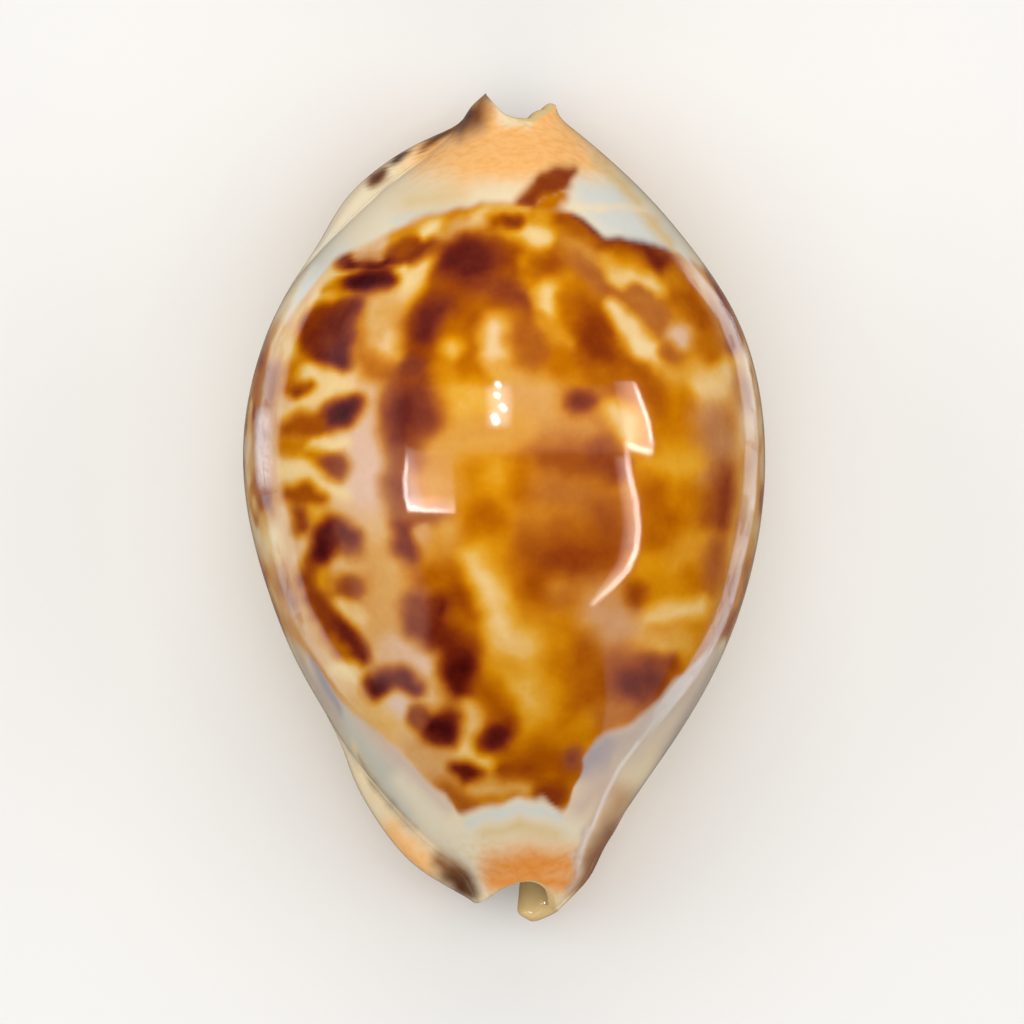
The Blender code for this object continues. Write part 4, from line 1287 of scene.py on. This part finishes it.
class Mirror:
    """Finds where the camera's ray goes after the shell mirrors it at a pixel of the photograph."""

    NEAREST = 6
    STEEPEST = 86.0
    EVEN_OUT = 0.5

    def __init__(self, grid):
        outer = grid.outer
        normals = np.cross(np.gradient(outer, axis=1), np.gradient(outer, axis=0))
        normals = normals / np.maximum(np.linalg.norm(normals, axis=2, keepdims=True), 1e-9)
        seen = np.tile(turn_of(grid.s) < self.STEEPEST, (outer.shape[0], 1))
        self.points = outer[seen]
        self.normals = normals[seen]
        px, py = pixels_of(self.points)
        self.tree = kdtree.KDTree(len(px))
        for i in range(len(px)):
            self.tree.insert((px[i], py[i], 0.0), i)
        self.tree.balance()
        self.camera = np.array([CAMERA_X, CAMERA_Y, MARGIN_LEVEL + CAMERA_ABOVE])

    def place(self, x, y):
        """The place in metres that the shell mirrors to the camera at a pixel."""
        found = self.tree.find_n((x, y, 0.0), self.NEAREST)
        weights = np.array([1.0 / (distance + self.EVEN_OUT) for _, _, distance in found])
        weights = weights / weights.sum()
        indices = [index for _, index, _ in found]
        point = weights @ self.points[indices]
        normal = weights @ self.normals[indices]
        normal = normal / np.linalg.norm(normal)
        view = self.camera - point
        view = view / np.linalg.norm(view)
        ray = 2.0 * (normal @ view) * normal - view
        reach = CARD_DISTANCE
        if ray[2] < 0.0:
            reach = min(reach, (point[2] - CARD_ABOVE_FLOOR) / -ray[2])
        return (point + ray * reach) * MM


def along(points, steps):
    """Evenly spaced points along a line through the (x, y) points given."""
    points = np.array(points, dtype=float)
    lengths = np.concatenate([[0.0], np.cumsum(np.hypot(*np.diff(points, axis=0).T))])
    at = np.linspace(0.0, lengths[-1], steps + 1)
    return np.stack([np.interp(at, lengths, points[:, 0]), np.interp(at, lengths, points[:, 1])], axis=1)


def link_card(name, material, places, faces, levels):
    """A mesh that only reflections show, with its glow at each point."""
    mesh = bpy.data.meshes.new(name)
    mesh.from_pydata(places, [], faces)
    glow = mesh.attributes.new("glow", "FLOAT", "POINT")
    glow.data.foreach_set("value", np.array(levels, dtype=np.float32))
    card = link_new(name, mesh)
    card.visible_camera = False
    card.visible_diffuse = False
    card.visible_transmission = False
    card.visible_volume_scatter = False
    card.visible_shadow = False
    mesh.materials.append(material)


def make_floor_glow(material):
    """A flat ring on the floor, round the shell."""
    half_x = (CAD_HIGH[0] - CAD_LOW[0]) / 2.0
    half_y = (CAD_HIGH[1] - CAD_LOW[1]) / 2.0
    places, levels, faces = [], [], []
    for share, level in FLOOR_GLOW:
        for k in range(FLOOR_GLOW_STEPS):
            angle = 2.0 * math.pi * k / FLOOR_GLOW_STEPS
            x = share * half_x * math.cos(angle)
            y = share * half_y * math.sin(angle)
            places.append((x, y, CARD_ABOVE_FLOOR * MM))
            levels.append(level)
    for ring in range(len(FLOOR_GLOW) - 1):
        for k in range(FLOOR_GLOW_STEPS):
            here = ring * FLOOR_GLOW_STEPS + k
            ahead = ring * FLOOR_GLOW_STEPS + (k + 1) % FLOOR_GLOW_STEPS
            faces.append((here, ahead, ahead + FLOOR_GLOW_STEPS, here + FLOOR_GLOW_STEPS))
    link_card("floor_glow", material, places, faces, levels)


def make_card(name, material, mirror, first, second, level_at):
    """A glowing card that the shell mirrors between two edges, given as arrays of pixels."""
    places, levels, faces = [], [], []
    width = CARD_WIDTH_STEPS + 1
    for i in range(len(first)):
        for j in range(width):
            across = j / CARD_WIDTH_STEPS
            x, y = first[i] + (second[i] - first[i]) * across
            places.append(tuple(mirror.place(x, y)))
            levels.append(level_at(i / (len(first) - 1), across))
    for i in range(len(first) - 1):
        for j in range(width - 1):
            corner = i * width + j
            faces.append((corner, corner + 1, corner + width + 1, corner + width))
    link_card(name, material, places, faces, levels)


def card_material(name, colour):
    """A clear material that adds its glow to whatever lies behind it."""
    material = bpy.data.materials.new(name)
    material.use_nodes = True
    nodes, links = material.node_tree.nodes, material.node_tree.links
    nodes.remove(nodes["Principled BSDF"])
    glow = nodes.new("ShaderNodeAttribute")
    glow.attribute_name = "glow"
    emission = nodes.new("ShaderNodeEmission")
    emission.inputs["Color"].default_value = colour
    links.new(glow.outputs["Fac"], emission.inputs["Strength"])
    clear = nodes.new("ShaderNodeBsdfTransparent")
    both = nodes.new("ShaderNodeAddShader")
    links.new(emission.outputs[0], both.inputs[0])
    links.new(clear.outputs[0], both.inputs[1])
    links.new(both.outputs[0], nodes["Material Output"].inputs["Surface"])
    return material


def make_patch(name, material, mirror, first, second, corners, soft):
    """A glowing patch between two edges, with its brightness blended from its four corners."""
    start_a, end_a, start_b, end_b = corners

    def level_at(run, across):
        edge = min(across, 1.0 - across, 2.0 * run, 2.0 * (1.0 - run)) / soft
        start = start_a + (start_b - start_a) * across
        end = end_a + (end_b - end_a) * across
        return float((start + (end - start) * run) * min(edge, 1.0))

    make_card(name, material, mirror, along(first, CARD_STEPS), along(second, CARD_STEPS), level_at)


def make_line(name, material, mirror, level, width, rise, points):
    """A glowing line, or a round dot where only two points are given."""
    middle = along(points, CARD_STEPS)
    direction = np.gradient(middle, axis=0)
    direction = direction / np.linalg.norm(direction, axis=1, keepdims=True)
    side = np.stack([-direction[:, 1], direction[:, 0]], axis=1) * width / 2.0
    dot = len(points) == 2
    if dot:
        middle = middle + direction * np.linspace(-width / 2.0, width / 2.0, len(middle))[:, None]

    def level_at(run, across):
        if dot:
            ends = math.sin(math.pi * run) ** 0.5
        else:
            ends = min(1.0, LINE_END * rise * min(run, 1.0 - run))
        return float(level * ends * min(1.0, rise * math.sin(math.pi * across)))

    make_card(name, material, mirror, middle - side, middle + side, level_at)


shell, shell_grid = shell_piece()
shell.data.materials.append(shell_material())
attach(shell, "root")
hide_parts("shell")

make_floor()
make_world()
make_camera()
for light_name, (light_place, light_target, light_size, light_power) in LIGHTS.items():
    soft_light(light_name, light_place, light_target, light_size, light_power)
shell_mirror = Mirror(shell_grid)
warm_card = card_material("warm_reflection", WARM_GLOW)
cool_card = card_material("cool_reflection", COOL_GLOW)
make_floor_glow(warm_card)
for make, cards in ((make_patch, PATCHES), (make_line, LINES)):
    for card_name, card_sizes in cards.items():
        make(card_name, cool_card if card_name in COOL_CARDS else warm_card, shell_mirror, *card_sizes)
bpy.context.scene.view_settings.view_transform = "Standard"
